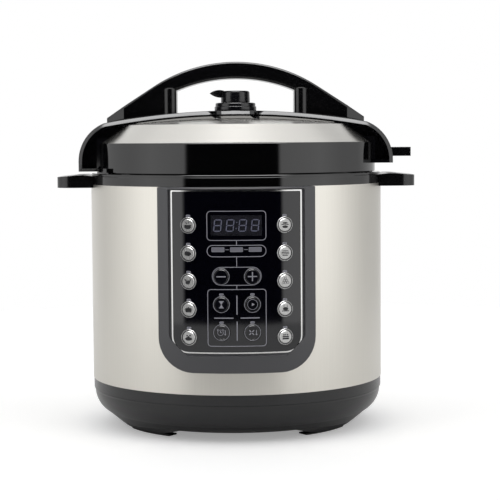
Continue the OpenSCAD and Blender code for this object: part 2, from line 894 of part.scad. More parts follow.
// One push switch behind a button
module switch_at(x, z) {
    tip_r = button_back_r - button_travel - switch_gap - 0.1;
    intersection() {
        at_panel(x, z)
            cylinder(r = 2.6, h = tip_r);
        block(-far, far, -far, -board_y + eps, 0, far);
    }
}

module power_inlet() {
    back_y = drum_r + 1.8;
    color("#1a1a1c")
        difference() {
            union() {
                block(-inlet_w / 2, inlet_w / 2, back_y - inlet_depth, back_y,
                    inlet_z - inlet_h / 2, inlet_z + inlet_h / 2);
                intersection() {
                    tube(back_y, drum_r + contact, 0, far);
                    block(-inlet_w / 2 - inlet_lip, inlet_w / 2 + inlet_lip, 0, far,
                        inlet_z - inlet_h / 2 - inlet_lip + 0.5, inlet_z + inlet_h / 2 + inlet_lip);
                }
            }
            block(-inlet_w / 2 + 3, inlet_w / 2 - 3, back_y - inlet_depth + 5, far,
                inlet_z - inlet_h / 2 + 3.4, inlet_z + inlet_h / 2 - 3.4);
            for (x = [-7, 0, 7])
                block(x - 1.1, x + 1.1, back_y - inlet_depth - cut, back_y, inlet_z - 2.1,
                    inlet_z + 2.1);
        }
}

module inlet_pins() {
    back_y = drum_r + 1.8;
    color("#c9c3a8")
        for (x = [-7, 0, 7])
            block(x - 1, x + 1, back_y - inlet_depth - 6, back_y - 5, inlet_z - 2, inlet_z + 2);
}

module cup_bracket() {
    half = cup_w / 2 + cup_gap;
    low = cup_z - cup_gap;
    front = cup_front_y - cup_gap;
    color("#1a1a1c")
        difference() {
            union() {
                block(-half - pocket_wall, half + pocket_wall, front - pocket_wall, drum_r - 1,
                    low - pocket_wall, cup_z + cup_h + 3);
                intersection() {
                    tube(drum_r + 1.3, drum_r + contact, 0, far);
                    block(-half - 5, half + 5, 0, far, low - 5, wrap_top - 0.4);
                }
                intersection() {
                    tube(drum_r + 0.7, drum_r - 6, 0, far);
                    block(-half - pocket_wall, half + pocket_wall, 0, far, low - pocket_wall,
                        cup_z + cup_h + 3);
                }
            }
            block(-half, half, front, far, low, cup_z + cup_h + 1.2);
            // drip hole under the collar's drain
            translate([0, (skirt_r - skirt_wall + collar_in_r) / 2, cup_z + cup_h])
                cylinder(r = 3.4, h = 10);
        }
}

module condensation_cup() {
    color("#d9dbe0")
        difference() {
            intersection() {
                disc(drum_r + cup_lift, cup_z, cup_z + cup_h);
                block(-cup_w / 2, cup_w / 2, cup_front_y, far, 0, far);
            }
            intersection() {
                disc(drum_r + cup_lift - cup_wall - 0.6, cup_z + cup_wall, far);
                block(-cup_w / 2 + cup_wall, cup_w / 2 - cup_wall, cup_front_y + cup_wall, far, 0,
                    far);
            }
        }
}

// ---- Panel ----

module panel_bezel() {
    color("#4b4b4d")
        difference() {
            on_drum(drum_r + contact, panel_r)
                shield_shape(panel_w, panel_z, wrap_top - 0.1, panel_corner_r);
            on_drum(drum_r - 8, drum_r + 8)
                shield_shape(plate_w, plate_low_z, plate_top, plate_corner_r + trim_w);
            // dark groove around the trim
            on_drum(panel_r - reveal_depth, panel_r + cut)
                shield_shape(plate_w + 2 * reveal_w, plate_low_z - reveal_w, plate_top,
                    plate_corner_r + trim_w + reveal_w);
        }
    color("#4b4b4d")
        difference() {
            on_drum(drum_r - 4, drum_r + contact + eps)
                shield_shape(panel_w - 7, panel_z + 3.5, wrap_top - 0.4, panel_corner_r - 3.5);
            on_drum(drum_r - 8, drum_r + 8)
                shield_shape(plate_w, plate_low_z, plate_top, plate_corner_r + trim_w);
        }
}

module panel_trim() {
    color("#d7d7d5")
        difference() {
            on_drum(plate_back_r, panel_r + 0.2)
                shield_shape(plate_w - 0.1, plate_low_z + 0.05, plate_top - 0.05,
                    plate_corner_r + trim_w);
            on_drum(drum_r - 8, drum_r + 8)
                shield_shape(plate_w - 2 * trim_w, plate_low_z + trim_w, plate_top - trim_w,
                    plate_corner_r);
        }
}

// Holes for every button, as one group of cutters
module button_holes() {
    for (side = [-1, 1], row = [0 : 4])
        at_panel(side * column_x, column_z + row * button_pitch)
            cylinder(r = button_r + button_gap, h = far);
    for (side = [-1, 1]) {
        at_panel(side * centre_x, adjust_z)
            cylinder(r = centre_button_r + button_gap, h = far);
        for (row = [0, 1])
            at_panel(side * centre_x, function_z - row * button_pitch)
                cylinder(r = centre_button_r + button_gap, h = far);
    }
}

module panel_plate() {
    post_z = [column_z + button_pitch / 2, column_z + 3.5 * button_pitch];
    color("#0d0d12")
        difference() {
            union() {
                on_drum(plate_back_r, plate_r)
                    shield_shape(plate_w - 2 * trim_w - 0.1, plate_low_z + trim_w + 0.05,
                        plate_top - trim_w - 0.05, plate_corner_r);
                for (x = [-52, 52], z = post_z)
                    translate([x, 0, z])
                        rotate([90, 0, 0])
                            intersection() {
                                translate([0, 0, board_y + contact])
                                    cylinder(r = 3, h = 14);
                                translate([-x, -z, 0])
                                    rotate([-90, 0, 0])
                                        disc(plate_back_r + 0.4, 0, far);
                            }
            }
            button_holes();
            on_drum(drum_r - 8, drum_r + 8)
                translate([0, window_z])
                    square([window_w, window_h], center = true);
            for (i = [-1 : 1])
                on_drum(drum_r - 8, drum_r + 8)
                    translate([i * bar_pitch, bar_z])
                        square([bar_w, bar_h], center = true);
            lamp_shapes(0.05, drum_r - 8, drum_r + 8);
        }
}

// Small lamps over the buttons
module lamp_shapes(grow, r_in, r_out) {
    w = lamp_w + 2 * grow;
    h = lamp_h + 2 * grow;
    on_drum(r_in, r_out) {
        for (side = [-1, 1], row = [0 : 4])
            translate([side * column_x, column_z + row * button_pitch + lamp_offset + 1])
                pill_shape(w, h);
        for (side = [-1, 1], row = [0, 1])
            translate([side * centre_x, function_z - row * button_pitch + lamp_offset + 1.4])
                pill_shape(w, h);
    }
}

module panel_lamps() {
    color("#b8b8b8")
        lamp_shapes(0, plate_back_r, plate_r + 0.1);
    color("#7c7c84")
        for (i = [-1 : 1])
            on_drum(plate_back_r, plate_r + 0.1)
                translate([i * bar_pitch, bar_z])
                    square([bar_w - 0.1, bar_h - 0.1], center = true);
}

module display_window() {
    color("#2b2b33")
        on_drum(plate_r - 1, plate_r)
            translate([0, window_z])
                square([window_w - 0.1, window_h - 0.1], center = true);
}

// One straight bar of a leaning digit, about the digit's middle
module digit_bar(x, z, w, h) {
    polygon([
        for (corner = [[-1, -1], [1, -1], [1, 1], [-1, 1]])
            [
                x + corner[0] * w / 2 + (z + corner[1] * h / 2) * tan(digit_lean),
                z + corner[1] * h / 2,
            ]
    ]);
}

// One seven-segment digit, lit all over
module digit_shape() {
    for (z = [-1 : 1])
        digit_bar(0, z * (digit_h - stroke) / 2, digit_w - 2.6 * stroke, stroke);
    for (side = [-1, 1], half = [-1, 1])
        digit_bar(side * (digit_w - stroke) / 2, half * (digit_h - stroke) / 4,
            stroke, digit_h / 2 - 1.2 * stroke);
}

module display_module() {
    face_r = plate_r - 1 - contact;
    color("#3a3a40")
        on_drum(drum_r - 4.5, face_r - 0.4)
            translate([0, window_z])
                square([window_w - 0.4, window_h - 0.4], center = true);
    color("#f2f4f8")
        on_drum(face_r - 0.4 - eps, face_r)
            translate([0, window_z]) {
                for (i = [-1.5 : 1.5])
                    translate([i * digit_pitch, 0])
                        digit_shape();
                for (half = [-1, 1])
                    digit_bar(0, half * digit_h / 4, stroke, stroke);
            }
}

// ---- Buttons ----

// A button with a retaining flange behind the plate and a raised middle
module button(r, cap_r, face) {
    rim_r = plate_r + button_lift * 0.6;
    top_r = plate_r + button_lift;
    bevel = 0.2;
    ring_w = 0.65;
    groove = 0.8;
    color(face)
        rotate_extrude()
            polygon([
                [0, button_back_r],
                [r + flange_extra, button_back_r],
                [r + flange_extra, button_back_r + button_flange],
                [r, button_back_r + button_flange],
                [r, rim_r - bevel],
                [r - bevel, rim_r],
                [r - ring_w, rim_r],
                [r - ring_w, rim_r - groove],
                [cap_r, rim_r - groove],
                [cap_r, top_r - 0.5],
                [cap_r - 0.5, top_r],
                [0, top_r],
            ]);
}

module program_button(side, row) {
    at_panel(side * column_x, column_z + row * button_pitch)
        button(button_r, button_cap_r, "#c9c9c9");
}

module centre_button(side, z) {
    at_panel(side * centre_x, z)
        button(centre_button_r, centre_button_r - 1.4, "#1b1b22");
}

// ---- Inner pot and inner lid ----

module inner_pot() {
    in_r = pot_r - pot_wall;
    in_bend = pot_bend_r - pot_wall;
    color("#c9c8c4")
        rotate_extrude()
            polygon(concat(
                [[0, pot_low]],
                arc(pot_r - pot_bend_r, pot_low + pot_bend_r, pot_bend_r, -90, 0, 8),
                [
                    [pot_r, pot_rim_z],
                    [pot_rim_r - 0.8, pot_rim_z],
                    [pot_rim_r, pot_rim_z + 0.8],
                    [pot_rim_r, pot_rim_top - 0.8],
                    [pot_rim_r - 0.8, pot_rim_top],
                    [in_r + 1, pot_rim_top],
                    [in_r, pot_rim_top - 1],
                ],
                arc(in_r - in_bend, pot_low + pot_floor + in_bend, in_bend, 0, -90, 8),
                [[0, pot_low + pot_floor]]
            ));
}

module gasket_carrier() {
    top = carrier_z + carrier_t;
    color("#bdbdb9")
        difference() {
            rotate_extrude()
                polygon([
                    [hub_r, top + hub_rise],
                    [hub_r + 8, top + hub_rise],
                    [hub_r + 30, top],
                    [carrier_r, top],
                    [carrier_r, ring_low + 0.4],
                    [carrier_r - carrier_t, ring_low + 0.4],
                    [carrier_r - carrier_t, carrier_z],
                    [hub_r + 30, carrier_z],
                    [hub_r + 8, carrier_z + hub_rise],
                    [hub_r, carrier_z + hub_rise],
                ]);
            for (a = [0 : 45 : 315])
                rotate([0, 0, a])
                    translate([carrier_r - 44, 0, carrier_z - cut])
                        cylinder(r = 3, h = carrier_t + 2 * cut);
        }
}

module sealing_ring() {
    color("#e4e2dc")
        rotate_extrude()
            polygon([
                [carrier_r, ring_low],
                [ring_out_r - 1, ring_low],
                [ring_out_r, ring_low + 1.2],
                [ring_out_r - 5, ring_low + 4.5],
                [ring_out_r - 5, ring_top - 5],
                [ring_out_r, ring_top - 1.4],
                [ring_out_r - 0.8, ring_top],
                [carrier_r, ring_top],
            ]);
}

module carrier_grommet() {
    hub_z = carrier_z + hub_rise;
    bore = stem_r + stem_fit;
    color("#9a9890")
        rotate_extrude()
            polygon([
                [bore, hub_z - 2.5],
                [hub_r + 2.5, hub_z - 2.5],
                [hub_r + 2.5, hub_z],
                [hub_r, hub_z],
                [hub_r, hub_z + carrier_t],
                [hub_r + 2.5, hub_z + carrier_t],
                [hub_r + 1, hub_z + carrier_t + 2.5],
                [bore, hub_z + carrier_t + 2.5],
            ]);
}

// ---- Lid ----

// Half section of the lid's slope and crown, sunk by the depth given
module dome_section(depth) {
    foot_z = slope_z - depth * slope_factor;
    polygon([
        [0, hem_z], [slope_r, hem_z], [slope_r, foot_z],
        [crown_r, foot_z + slope_h], [crown_r - 5, foot_z + slope_h - 3], [0, foot_z + slope_h - 3],
    ]);
    intersection() {
        translate([0, crown_top - crown_arc_r - depth])
            circle(r = crown_arc_r, $fn = 720);
        translate([0, hem_z])
            square([crown_r, far]);
    }
}

module lid_shell() {
    wall_in = lid_wall_r - lid_steel;
    color("#d2d1cd")
        difference() {
            union() {
                rotate_extrude()
                    difference() {
                        union() {
                            dome_section(0);
                            translate([wall_in, lid_low])
                                square([lid_steel, hem_z - lid_low + eps]);
                        }
                        intersection() {
                            union() {
                                dome_section(lid_steel);
                                square([wall_in, slope_z]);
                            }
                            square([wall_in, far]);
                        }
                    }
                for (i = [0 : teeth - 1])
                    sector(tooth_in_r, wall_in + 0.5, lid_low, lid_low + tooth_t,
                        (i + 0.5) * 360 / teeth, tooth_angle);
            }
            disc(stem_r + stem_fit, crown_top - 10, crown_top + 10);
            translate([float_x, float_y, crown_top - 20])
                cylinder(r = float_r + 0.08, h = 40);
        }
}

module lid_skirt() {
    edge = 1.2;
    color("#121214")
        rotate_extrude()
            polygon(concat(
                [
                    [skirt_r - skirt_wall, skirt_z],
                    [skirt_r - 0.6, skirt_z],
                    [skirt_r, skirt_z + 0.6],
                    [skirt_r, skirt_top - edge],
                ],
                arc(skirt_r - edge, skirt_top - edge, edge, 0, 90, 4),
                [
                    [slope_r + 0.1, skirt_top],
                    [slope_r + 0.1, hem_z - 0.05],
                    [lid_wall_r + 0.1, hem_z - 0.05],
                    [lid_wall_r + 0.1, hem_z - 3],
                    [skirt_r - skirt_wall, hem_z - 3],
                ]
            ));
}

// Upright outline of the strap's right half, with its outer edge moved inwards by inset
module strap_half(z_low, inset = 0) {
    intersection() {
        translate([0, strap_top - strap_arch_r])
            circle(r = strap_arch_r - inset, $fn = 720);
        translate([-eps, z_low])
            square([strap_turn_x + eps, far]);
    }
    intersection() {
        translate([arm_shoulder_x, shoulder_z])
            circle(r = shoulder_r - inset);
        translate([strap_turn_x - eps, shoulder_z - eps])
            square(shoulder_r);
    }
    translate([strap_turn_x - eps, z_low])
        square([arm_reach - inset - strap_turn_x + eps, shoulder_z - z_low]);
}

// The part of the strap's face that is sunk behind its rim
module strap_recess(z_low) {
    difference() {
        strap_half(z_low + 3, strap_rim);
        // lower band of the strap
        intersection() {
            translate([0, strap_top - strap_arch_r])
                circle(r = strap_arch_r - strap_rim - groove_h, $fn = 720);
            translate([-cut, 0])
                square([band_end_x + cut, far]);
        }
        // inner wall of the arm
        square([bracket_x, slope_z + 5]);
    }
}

module strap_plan(inset) {
    half = strap_half_w - inset;
    wide = arm_half_w - inset;
    polygon([
        [-eps, -half], [waist_x, -half], [flare_x, -wide], [arm_reach + cut, -wide],
        [arm_reach + cut, wide], [flare_x, wide], [waist_x, half], [-eps, half],
    ]);
}

module strap_side(z_low) {
    difference() {
        intersection() {
            rotate([90, 0, 0])
                linear_extrude(height = 2 * drum_r, center = true)
                    strap_half(z_low);
            linear_extrude(height = far)
                strap_plan(0);
        }
        difference() {
            rotate([90, 0, 0])
                linear_extrude(height = 2 * drum_r, center = true)
                    strap_recess(z_low);
            linear_extrude(height = far)
                strap_plan(groove_in);
        }
    }
}

module lid_strap() {
    color("#131316")
        difference() {
            union() {
                strap_side(collar_top + right_arm_gap);
                mirror([1, 0, 0])
                    strap_side(collar_top + left_arm_gap);
                // curved bracket that clasps the skirt in front of the left arm
                sector(skirt_r - 1, skirt_r + clasp_t, clasp_z, slope_z,
                    180 + clasp_angle / 2, clasp_angle);
                // pad on the outside of the left arm
                block(-arm_reach - 2, -arm_reach + 1, -14, 14, collar_top + left_arm_gap,
                    collar_top + left_arm_gap + 14);
            }
            // room for the lid's skirt and steel
            disc(skirt_r + lid_clear, 0, skirt_top + lid_clear);
            translate([0, 0, lid_clear])
                rotate_extrude()
                    dome_section(0);
            // underside that follows the strap's arch between the lid's slopes
            intersection() {
                translate([0, far / 2, strap_top - strap_arch_r])
                    rotate([90, 0, 0])
                        cylinder(r = strap_arch_r - strap_body, h = far, $fn = 720);
                block(-crown_r + 20, crown_r - 20, -far / 2, far / 2, slope_z, far);
            }
            disc(stem_r + stem_fit, crown_top - 10, strap_top + 10);
            for (x = [-1, 1], y = [-1, 1])
                translate([x * (post_x + post_w / 2), y * stud_y, crown_top - 20])
                    cylinder(r = stud_r + 0.2, h = 60);
        }
}

// Front outline of the handle: an arch with straight ends, standing on the strap
module handle_shape() {
    arch_low = strap_top + handle_rise - handle_arch_r;
    turn_x = handle_arch_r * sin(handle_slope);
    turn_z = arch_low + handle_arch_r * cos(handle_slope);
    end_top = turn_z - (handle_end_x - turn_x) * tan(handle_slope);
    under_low = strap_top + handle_rise - handle_t - handle_under_r;
    difference() {
        polygon([
            [-handle_end_x, crown_top - 20],
            [-handle_end_x, end_top - 1],
            [-handle_end_x + 1.2, end_top + 1.2 * tan(handle_slope)],
            [0, turn_z + turn_x * tan(handle_slope)],
            [handle_end_x - 1.2, end_top + 1.2 * tan(handle_slope)],
            [handle_end_x, end_top - 1],
            [handle_end_x, crown_top - 20],
        ]);
        // the long arch on top, between its two straight slopes
        difference() {
            translate([-turn_x, turn_z])
                square([2 * turn_x, far]);
            translate([0, arch_low])
                circle(r = handle_arch_r);
        }
        translate([0, strap_top - strap_arch_r])
            circle(r = strap_arch_r + contact, $fn = 720);
        // opening for the hand
        intersection() {
            translate([0, under_low])
                circle(r = handle_under_r);
            translate([-post_x, crown_top - 20])
                square([2 * post_x, far]);
        }
    }
}

module arch_handle() {
    broad = handle_half_w + 2;
    corners = [
        [-handle_end_x, 7], [-band_end_x, broad], [-post_x, broad],
        [-post_x + 30, handle_half_w], [post_x - 30, handle_half_w], [post_x, broad],
        [band_end_x, broad], [handle_end_x, 7],
    ];
    color("#0f0f11")
        difference() {
            intersection() {
                rotate([90, 0, 0])
                    linear_extrude(height = 2 * drum_r, center = true)
                        handle_shape();
                // plan of the handle: full width over the posts, narrower at both ends
                linear_extrude(height = far)
                    polygon([
                        for (side = [-1, 1], corner = corners)
                            [side * corner[0], side * corner[1]]
                    ]);
            }
            for (x = [-1, 1], y = [-1, 1])
                translate([x * (post_x + post_w / 2), y * stud_y, strap_top - 12])
                    cylinder(r = stud_r + 0.2, h = 26);
        }
}

module handle_studs() {
    foot_x = post_x + post_w / 2;
    color("#a9a9ab")
        for (x = [-1, 1], y = [-1, 1])
            translate([x * foot_x, y * stud_y, crown_z(foot_x + 4) + 0.3])
                cylinder(r = stud_r, h = 20);
}

module parking_tab() {
    tab_z = slope_z - 14.8;
    color("#141416")
        difference() {
            block(arm_reach + contact, tab_reach, -tab_w / 2, tab_w / 2, tab_z, tab_z + tab_t);
            translate([arm_reach + 12, 0, tab_z - cut])
                cylinder(r = 3, h = tab_t + 2 * cut);
        }
}

// ---- Valve and float ----

module valve_stem() {
    bore_r = 2.2;
    color("#b5b5b3")
        difference() {
            union() {
                disc(stem_r, stem_low, stem_top);
                disc(9, crown_top - lid_steel - 3.1, crown_top - lid_steel - contact);
            }
            disc(bore_r, stem_low - cut, stem_top + cut);
        }
}

module valve_base() {
    z0 = strap_top + contact;
    z1 = z0 + valve_base_h;
    color("#3a3a3d")
        rotate_extrude()
            polygon([
                [stem_r + stem_fit, z0],
                [valve_base_r - 0.6, z0],
                [valve_base_r, z0 + 0.6],
                [valve_base_r, z1 - 1.6],
                [valve_base_r - 1.6, z1],
                [stem_r + stem_fit, z1],
            ]);
}

module steam_shield() {
    z0 = stem_low - 2.5;
    color("#c4c4c2")
        difference() {
            union() {
                tube(12, 10.8, z0, z0 + 7);
                disc(12, z0 - 1.2, z0 + eps);
                tube(12, stem_r, z0 + 7 - eps, z0 + 8.2);
            }
            for (a = [0 : 45 : 315])
                rotate([0, 0, a])
                    translate([0, 0, z0 + 3])
                        rotate([0, 90, 0])
                            cylinder(r = 1.4, h = 20);
        }
}

module valve_knob() {
    top = knob_z + knob_h;
    edge = 1.6;
    lever_w = 5.2;
    lever_z = knob_z + 5;
    lever_t = 7.6;
    color("#3c3c3f")
        difference() {
            union() {
                rotate_extrude()
                    polygon(concat(
                        [[0, knob_z], [knob_r, knob_z], [knob_r, top - edge]],
                        arc(knob_r - edge, top - edge, edge, 0, 90, 5),
                        [[0, top]]
                    ));
                // oval lever with a pointed tip
                intersection() {
                    translate([-knob_r + 3, 0, lever_z])
                        rotate([0, 0, 90])
                            linear_extrude(height = lever_t)
                                intersection_for(side = [-1, 1])
                                    translate([side * 11, 0])
                                        circle(r = 11 + lever_w);
                    block(-lever_reach, 0, -lever_w, lever_w, 0, far);
                }
            }
            disc(stem_r + stem_fit, knob_z - cut, stem_top + 1);
        }
}

module float_pin() {
    head_z = crown_z(norm([float_x, float_y]) - 5) + rest_gap;
    color("#c23a2e")
        translate([float_x, float_y, 0]) {
            disc(float_r, head_z - 10, head_z + 1.5);
            disc(4.5, head_z, head_z + 1.6);
            disc(4.5, head_z - 10.5, head_z - 8);
        }
}

base_pan();
foot_ring();
foot_pads();
base_screws();
steel_wrap();
collar_ring();
ear_left();
ear_right();
closing_stop();
outer_pot();
heating_plate();
heater_bracket();
sensor_spring();
sensor_cap();
pressure_switch();
thermal_fuse();
power_board();
control_board();
power_inlet();
inlet_pins();
cup_bracket();
condensation_cup();
panel_bezel();
panel_trim();
panel_plate();
display_window();
display_module();
panel_lamps();
program_button(-1, 4);  // button_left_1
program_button(-1, 3);  // button_left_2
program_button(-1, 2);  // button_left_3
program_button(-1, 1);  // button_left_4
program_button(-1, 0);  // button_left_5
program_button(1, 4);  // button_right_1
program_button(1, 3);  // button_right_2
program_button(1, 2);  // button_right_3
program_button(1, 1);  // button_right_4
program_button(1, 0);  // button_right_5
centre_button(-1, adjust_z);  // button_minus
centre_button(1, adjust_z);  // button_plus
centre_button(-1, function_z);  // button_function_1
centre_button(1, function_z);  // button_function_2
centre_button(-1, function_z - button_pitch);  // button_function_3
centre_button(1, function_z - button_pitch);  // button_function_4
inner_pot();
gasket_carrier();
sealing_ring();
carrier_grommet();
lid_shell();
lid_skirt();
lid_strap();
arch_handle();
handle_studs();
parking_tab();
valve_stem();
valve_base();
steam_shield();
valve_knob();
float_pin();
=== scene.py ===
"""Looks of an electric pressure cooker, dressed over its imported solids.

The cooker stands on the table at z = 0 with its panel towards -Y. Sizes below are in
millimetres unless a name says otherwise, and Blender works in metres.
"""

import json
import logging
import math
from contextlib import contextmanager
from dataclasses import dataclass
from enum import Enum
from typing import Callable, Iterator, Sequence

import bpy
from mathutils import Matrix, Vector


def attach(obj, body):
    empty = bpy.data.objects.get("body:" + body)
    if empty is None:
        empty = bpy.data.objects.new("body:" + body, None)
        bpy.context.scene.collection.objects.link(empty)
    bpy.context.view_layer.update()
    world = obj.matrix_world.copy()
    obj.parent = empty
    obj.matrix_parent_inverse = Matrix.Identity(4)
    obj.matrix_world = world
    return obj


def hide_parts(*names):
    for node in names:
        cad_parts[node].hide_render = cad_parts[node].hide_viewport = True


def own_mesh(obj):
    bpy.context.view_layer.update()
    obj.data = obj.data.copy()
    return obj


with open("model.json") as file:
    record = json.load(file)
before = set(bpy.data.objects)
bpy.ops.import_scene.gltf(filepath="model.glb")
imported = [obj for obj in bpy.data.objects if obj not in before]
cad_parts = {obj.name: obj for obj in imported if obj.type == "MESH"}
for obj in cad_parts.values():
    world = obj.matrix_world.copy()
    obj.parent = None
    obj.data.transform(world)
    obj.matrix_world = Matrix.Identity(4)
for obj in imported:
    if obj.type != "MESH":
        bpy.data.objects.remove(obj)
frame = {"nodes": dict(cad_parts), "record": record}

LOG = logging.getLogger("cooker")
MM = 0.001
IMAGE_SIDE = 500
UPRIGHT = (math.radians(90), 0.0, 0.0)
BRUSH_STRETCH = (1.0, 1.0, 0.006)
COAT_ROUGHNESS = 0.04
SOFT_DEPTH = (0.004, 0.003, 0.002)


# ---------------------------------------------------------------- materials


def hex_to_linear(code: str) -> tuple[float, float, float, float]:
    """Turns an sRGB hex colour into Blender's linear colour.

    Args:
        code: the colour, such as "#c8c6c0".

    Returns:
        Red, green, blue and an alpha of one, all linear.
    """
    parts = [int(code[i : i + 2], 16) / 255 for i in (1, 3, 5)]
    linear = [p / 12.92 if p <= 0.04045 else ((p + 0.055) / 1.055) ** 2.4 for p in parts]
    return (linear[0], linear[1], linear[2], 1.0)


def add_node(
    tree: bpy.types.NodeTree,
    kind: str,
    values: dict[str | int, object] | None = None,
    links: dict[str | int, bpy.types.NodeSocket] | None = None,
    **settings: object,
) -> bpy.types.Node:
    """Adds a shader node with its settings, constants and links.

    Args:
        tree: the node tree.
        kind: the node's type name.
        values: constants by input socket name or number.
        links: output sockets to join, by input socket name or number.
        settings: attributes of the node itself.

    Returns:
        The new node.
    """
    node = tree.nodes.new(kind)
    for name, value in settings.items():
        setattr(node, name, value)
    for key, value in (values or {}).items():
        node.inputs[key].default_value = value
    for key, socket in (links or {}).items():
        tree.links.new(socket, node.inputs[key])
    return node


class Grain(Enum):
    """How a surface was made, which sets the pattern its material draws."""

    BRUSHED_UP = "scratches that run straight up the drum"
    SPUN = "fine rings round the upright axis"
    MOULDED = "fine even texture of a spark-eroded mould"
    POLISHED = "smooth, with the faint waviness of a moulded or pressed skin"
    CAST = "sandy skin of a die casting"
    BOARD = "solder mask over copper tracks"


@dataclass(frozen=True)
class Finish:
    """One real material and how its surface was made.

    spacing is the distance between the marks of its pattern in millimetres and relief
    their depth in millimetres. tone and swing are how far they change the colour and
    the roughness, from 0 to 1. The rest are the shader's own inputs.
    """

    name: str
    colour: str
    grain: Grain
    roughness: float
    metallic: float = 0.0
    ior: float = 1.5
    spacing: float = 0.5
    relief: float = 0.004
    tone: float = 0.0
    swing: float = 0.12
    coat: float = 0.0
    transmission: float = 0.0
    glow: float = 0.0
    subsurface: float = 0.0

    def pattern(self, tree: bpy.types.NodeTree) -> bpy.types.NodeSocket:
        """Draws this finish's marks from Object coordinates.

        Args:
            tree: the material's node tree.

        Returns:
            A grey value round one half.
        """
        place = add_node(tree, "ShaderNodeTexCoord").outputs["Object"]
        fine = 1.0 / (self.spacing * MM)
        if self.grain is Grain.BRUSHED_UP:
            place = add_node(
                tree, "ShaderNodeMapping", {"Scale": BRUSH_STRETCH}, {"Vector": place}
            ).outputs["Vector"]
        elif self.grain is Grain.SPUN:
            level = {1: (1.0, 1.0, 0.0)}
            flat = add_node(
                tree, "ShaderNodeVectorMath", level, {0: place}, operation="MULTIPLY"
            ).outputs["Vector"]
            reach = add_node(
                tree, "ShaderNodeVectorMath", {}, {0: flat}, operation="LENGTH"
            ).outputs["Value"]
            height = add_node(tree, "ShaderNodeSeparateXYZ", {}, {"Vector": place}).outputs["Z"]
            place = add_node(
                tree, "ShaderNodeCombineXYZ", {}, {"X": reach, "Z": height}
            ).outputs["Vector"]
        elif self.grain is Grain.BOARD:
            return add_node(
                tree,
                "ShaderNodeTexBrick",
                {"Scale": fine * 0.1, "Mortar Size": 0.04, "Color1": (0.4,) * 3 + (1,)},
                {"Vector": place},
            ).outputs["Color"]
        detail = {Grain.CAST: 4.0, Grain.POLISHED: 0.0}.get(self.grain, 2.0)
        return add_node(
            tree,
            "ShaderNodeTexNoise",
            {"Scale": fine, "Detail": detail, "Roughness": 0.55},
            {"Vector": place},
        ).outputs["Fac"]

    def material(self) -> bpy.types.Material:
        """Builds the Blender material of this finish, once.

        Returns:
            The material.
        """
        made = bpy.data.materials.get(self.name)
        if made:
            return made
        material = bpy.data.materials.new(self.name)
        material.use_nodes = True
        tree = material.node_tree
        shader = tree.nodes["Principled BSDF"]
        colour = hex_to_linear(self.colour)
        values = {
            "Base Color": colour,
            "Metallic": self.metallic,
            "Roughness": self.roughness,
            "Coat Weight": self.coat,
            "Coat Roughness": COAT_ROUGHNESS,
            "Transmission Weight": self.transmission,
            "Subsurface Weight": self.subsurface,
        }
        if self.metallic < 0.5:
            values["IOR"] = self.ior
        if self.subsurface:
            values["Subsurface Radius"] = SOFT_DEPTH
        if self.glow:
            values |= {"Emission Color": colour, "Emission Strength": self.glow}
        for name, value in values.items():
            shader.inputs[name].default_value = value
        marks = self.pattern(tree)
        low, high = self.roughness * (1 - self.swing), self.roughness * (1 + self.swing)
        rough = add_node(
            tree, "ShaderNodeMapRange", {"To Min": low, "To Max": high}, {"Value": marks}
        )
        tree.links.new(rough.outputs["Result"], shader.inputs["Roughness"])
        if self.tone:
            dark = tuple(c * (1 - self.tone) for c in colour[:3]) + (1.0,)
            light = tuple(min(1.0, c * (1 + self.tone)) for c in colour[:3]) + (1.0,)
            tint = add_node(
                tree, "ShaderNodeMix", {6: dark, 7: light}, {0: marks}, data_type="RGBA"
            )
            tree.links.new(tint.outputs[2], shader.inputs["Base Color"])
        if self.relief:
            depth = {"Distance": self.relief * MM, "Strength": 1.0}
            bump = add_node(tree, "ShaderNodeBump", depth, {"Height": marks})
            tree.links.new(bump.outputs["Normal"], shader.inputs["Normal"])
        return material


# Stainless sheet, belt-brushed before it was rolled into the drum: long upright
# scratches that draw a reflection out sideways. They are really 0.1 mm apart and
# are drawn four times as coarse, so that they show.
BRUSHED_WRAP = Finish(
    "brushed_stainless_wrap", "#dad7cf", Grain.BRUSHED_UP, 0.32, 1.0,
    spacing=0.4, relief=0.0, tone=0.06, swing=0.18,
)
# Stainless pressing, polished on a lathe: faint rings that follow the lid's edge.
SPUN_LID = Finish(
    "spun_stainless_lid", "#d6d4cf", Grain.SPUN, 0.24, 1.0,
    spacing=0.5, relief=0.0, tone=0.04, swing=0.15,
)
# Deep-drawn stainless pot, satin-turned inside and out.
POT_STEEL = Finish(
    "turned_stainless_pot", "#c9c8c4", Grain.SPUN, 0.3, 1.0,
    spacing=0.6, relief=0.002, tone=0.05, swing=0.2,
)
# Cold-rolled sheet of the outer pot, left as it came from the press.
PRESSED_STEEL = Finish(
    "pressed_sheet_steel", "#b4b3ae", Grain.CAST, 0.42, 1.0,
    spacing=2.5, relief=0.004, tone=0.06,
)
# Zinc-plated screws, studs and bracket: a slightly mottled bluish white.
ZINC = Finish(
    "zinc_plate", "#b9bbbe", Grain.CAST, 0.34, 1.0, spacing=1.5, relief=0.002, tone=0.08
)
SPRING_WIRE = Finish(
    "drawn_spring_wire", "#9fa0a2", Grain.POLISHED, 0.3, 1.0, spacing=2.0, relief=0.0
)
# Die-cast aluminium, its face turned flat.
CAST_ALUMINIUM = Finish(
    "turned_cast_aluminium", "#c3c4c6", Grain.SPUN, 0.36, 1.0,
    spacing=0.8, relief=0.006, tone=0.07,
)
PIN_BRASS = Finish(
    "plated_brass_pins", "#cdbf86", Grain.POLISHED, 0.25, 1.0, spacing=2.0, relief=0.0
)
# Piano-black ABS: a mirror over black, with the slow waviness of a large moulding.
GLOSS_BLACK = Finish(
    "piano_black_abs", "#070708", Grain.POLISHED, 0.07, ior=1.62,
    spacing=30.0, relief=0.02, swing=0.3,
)
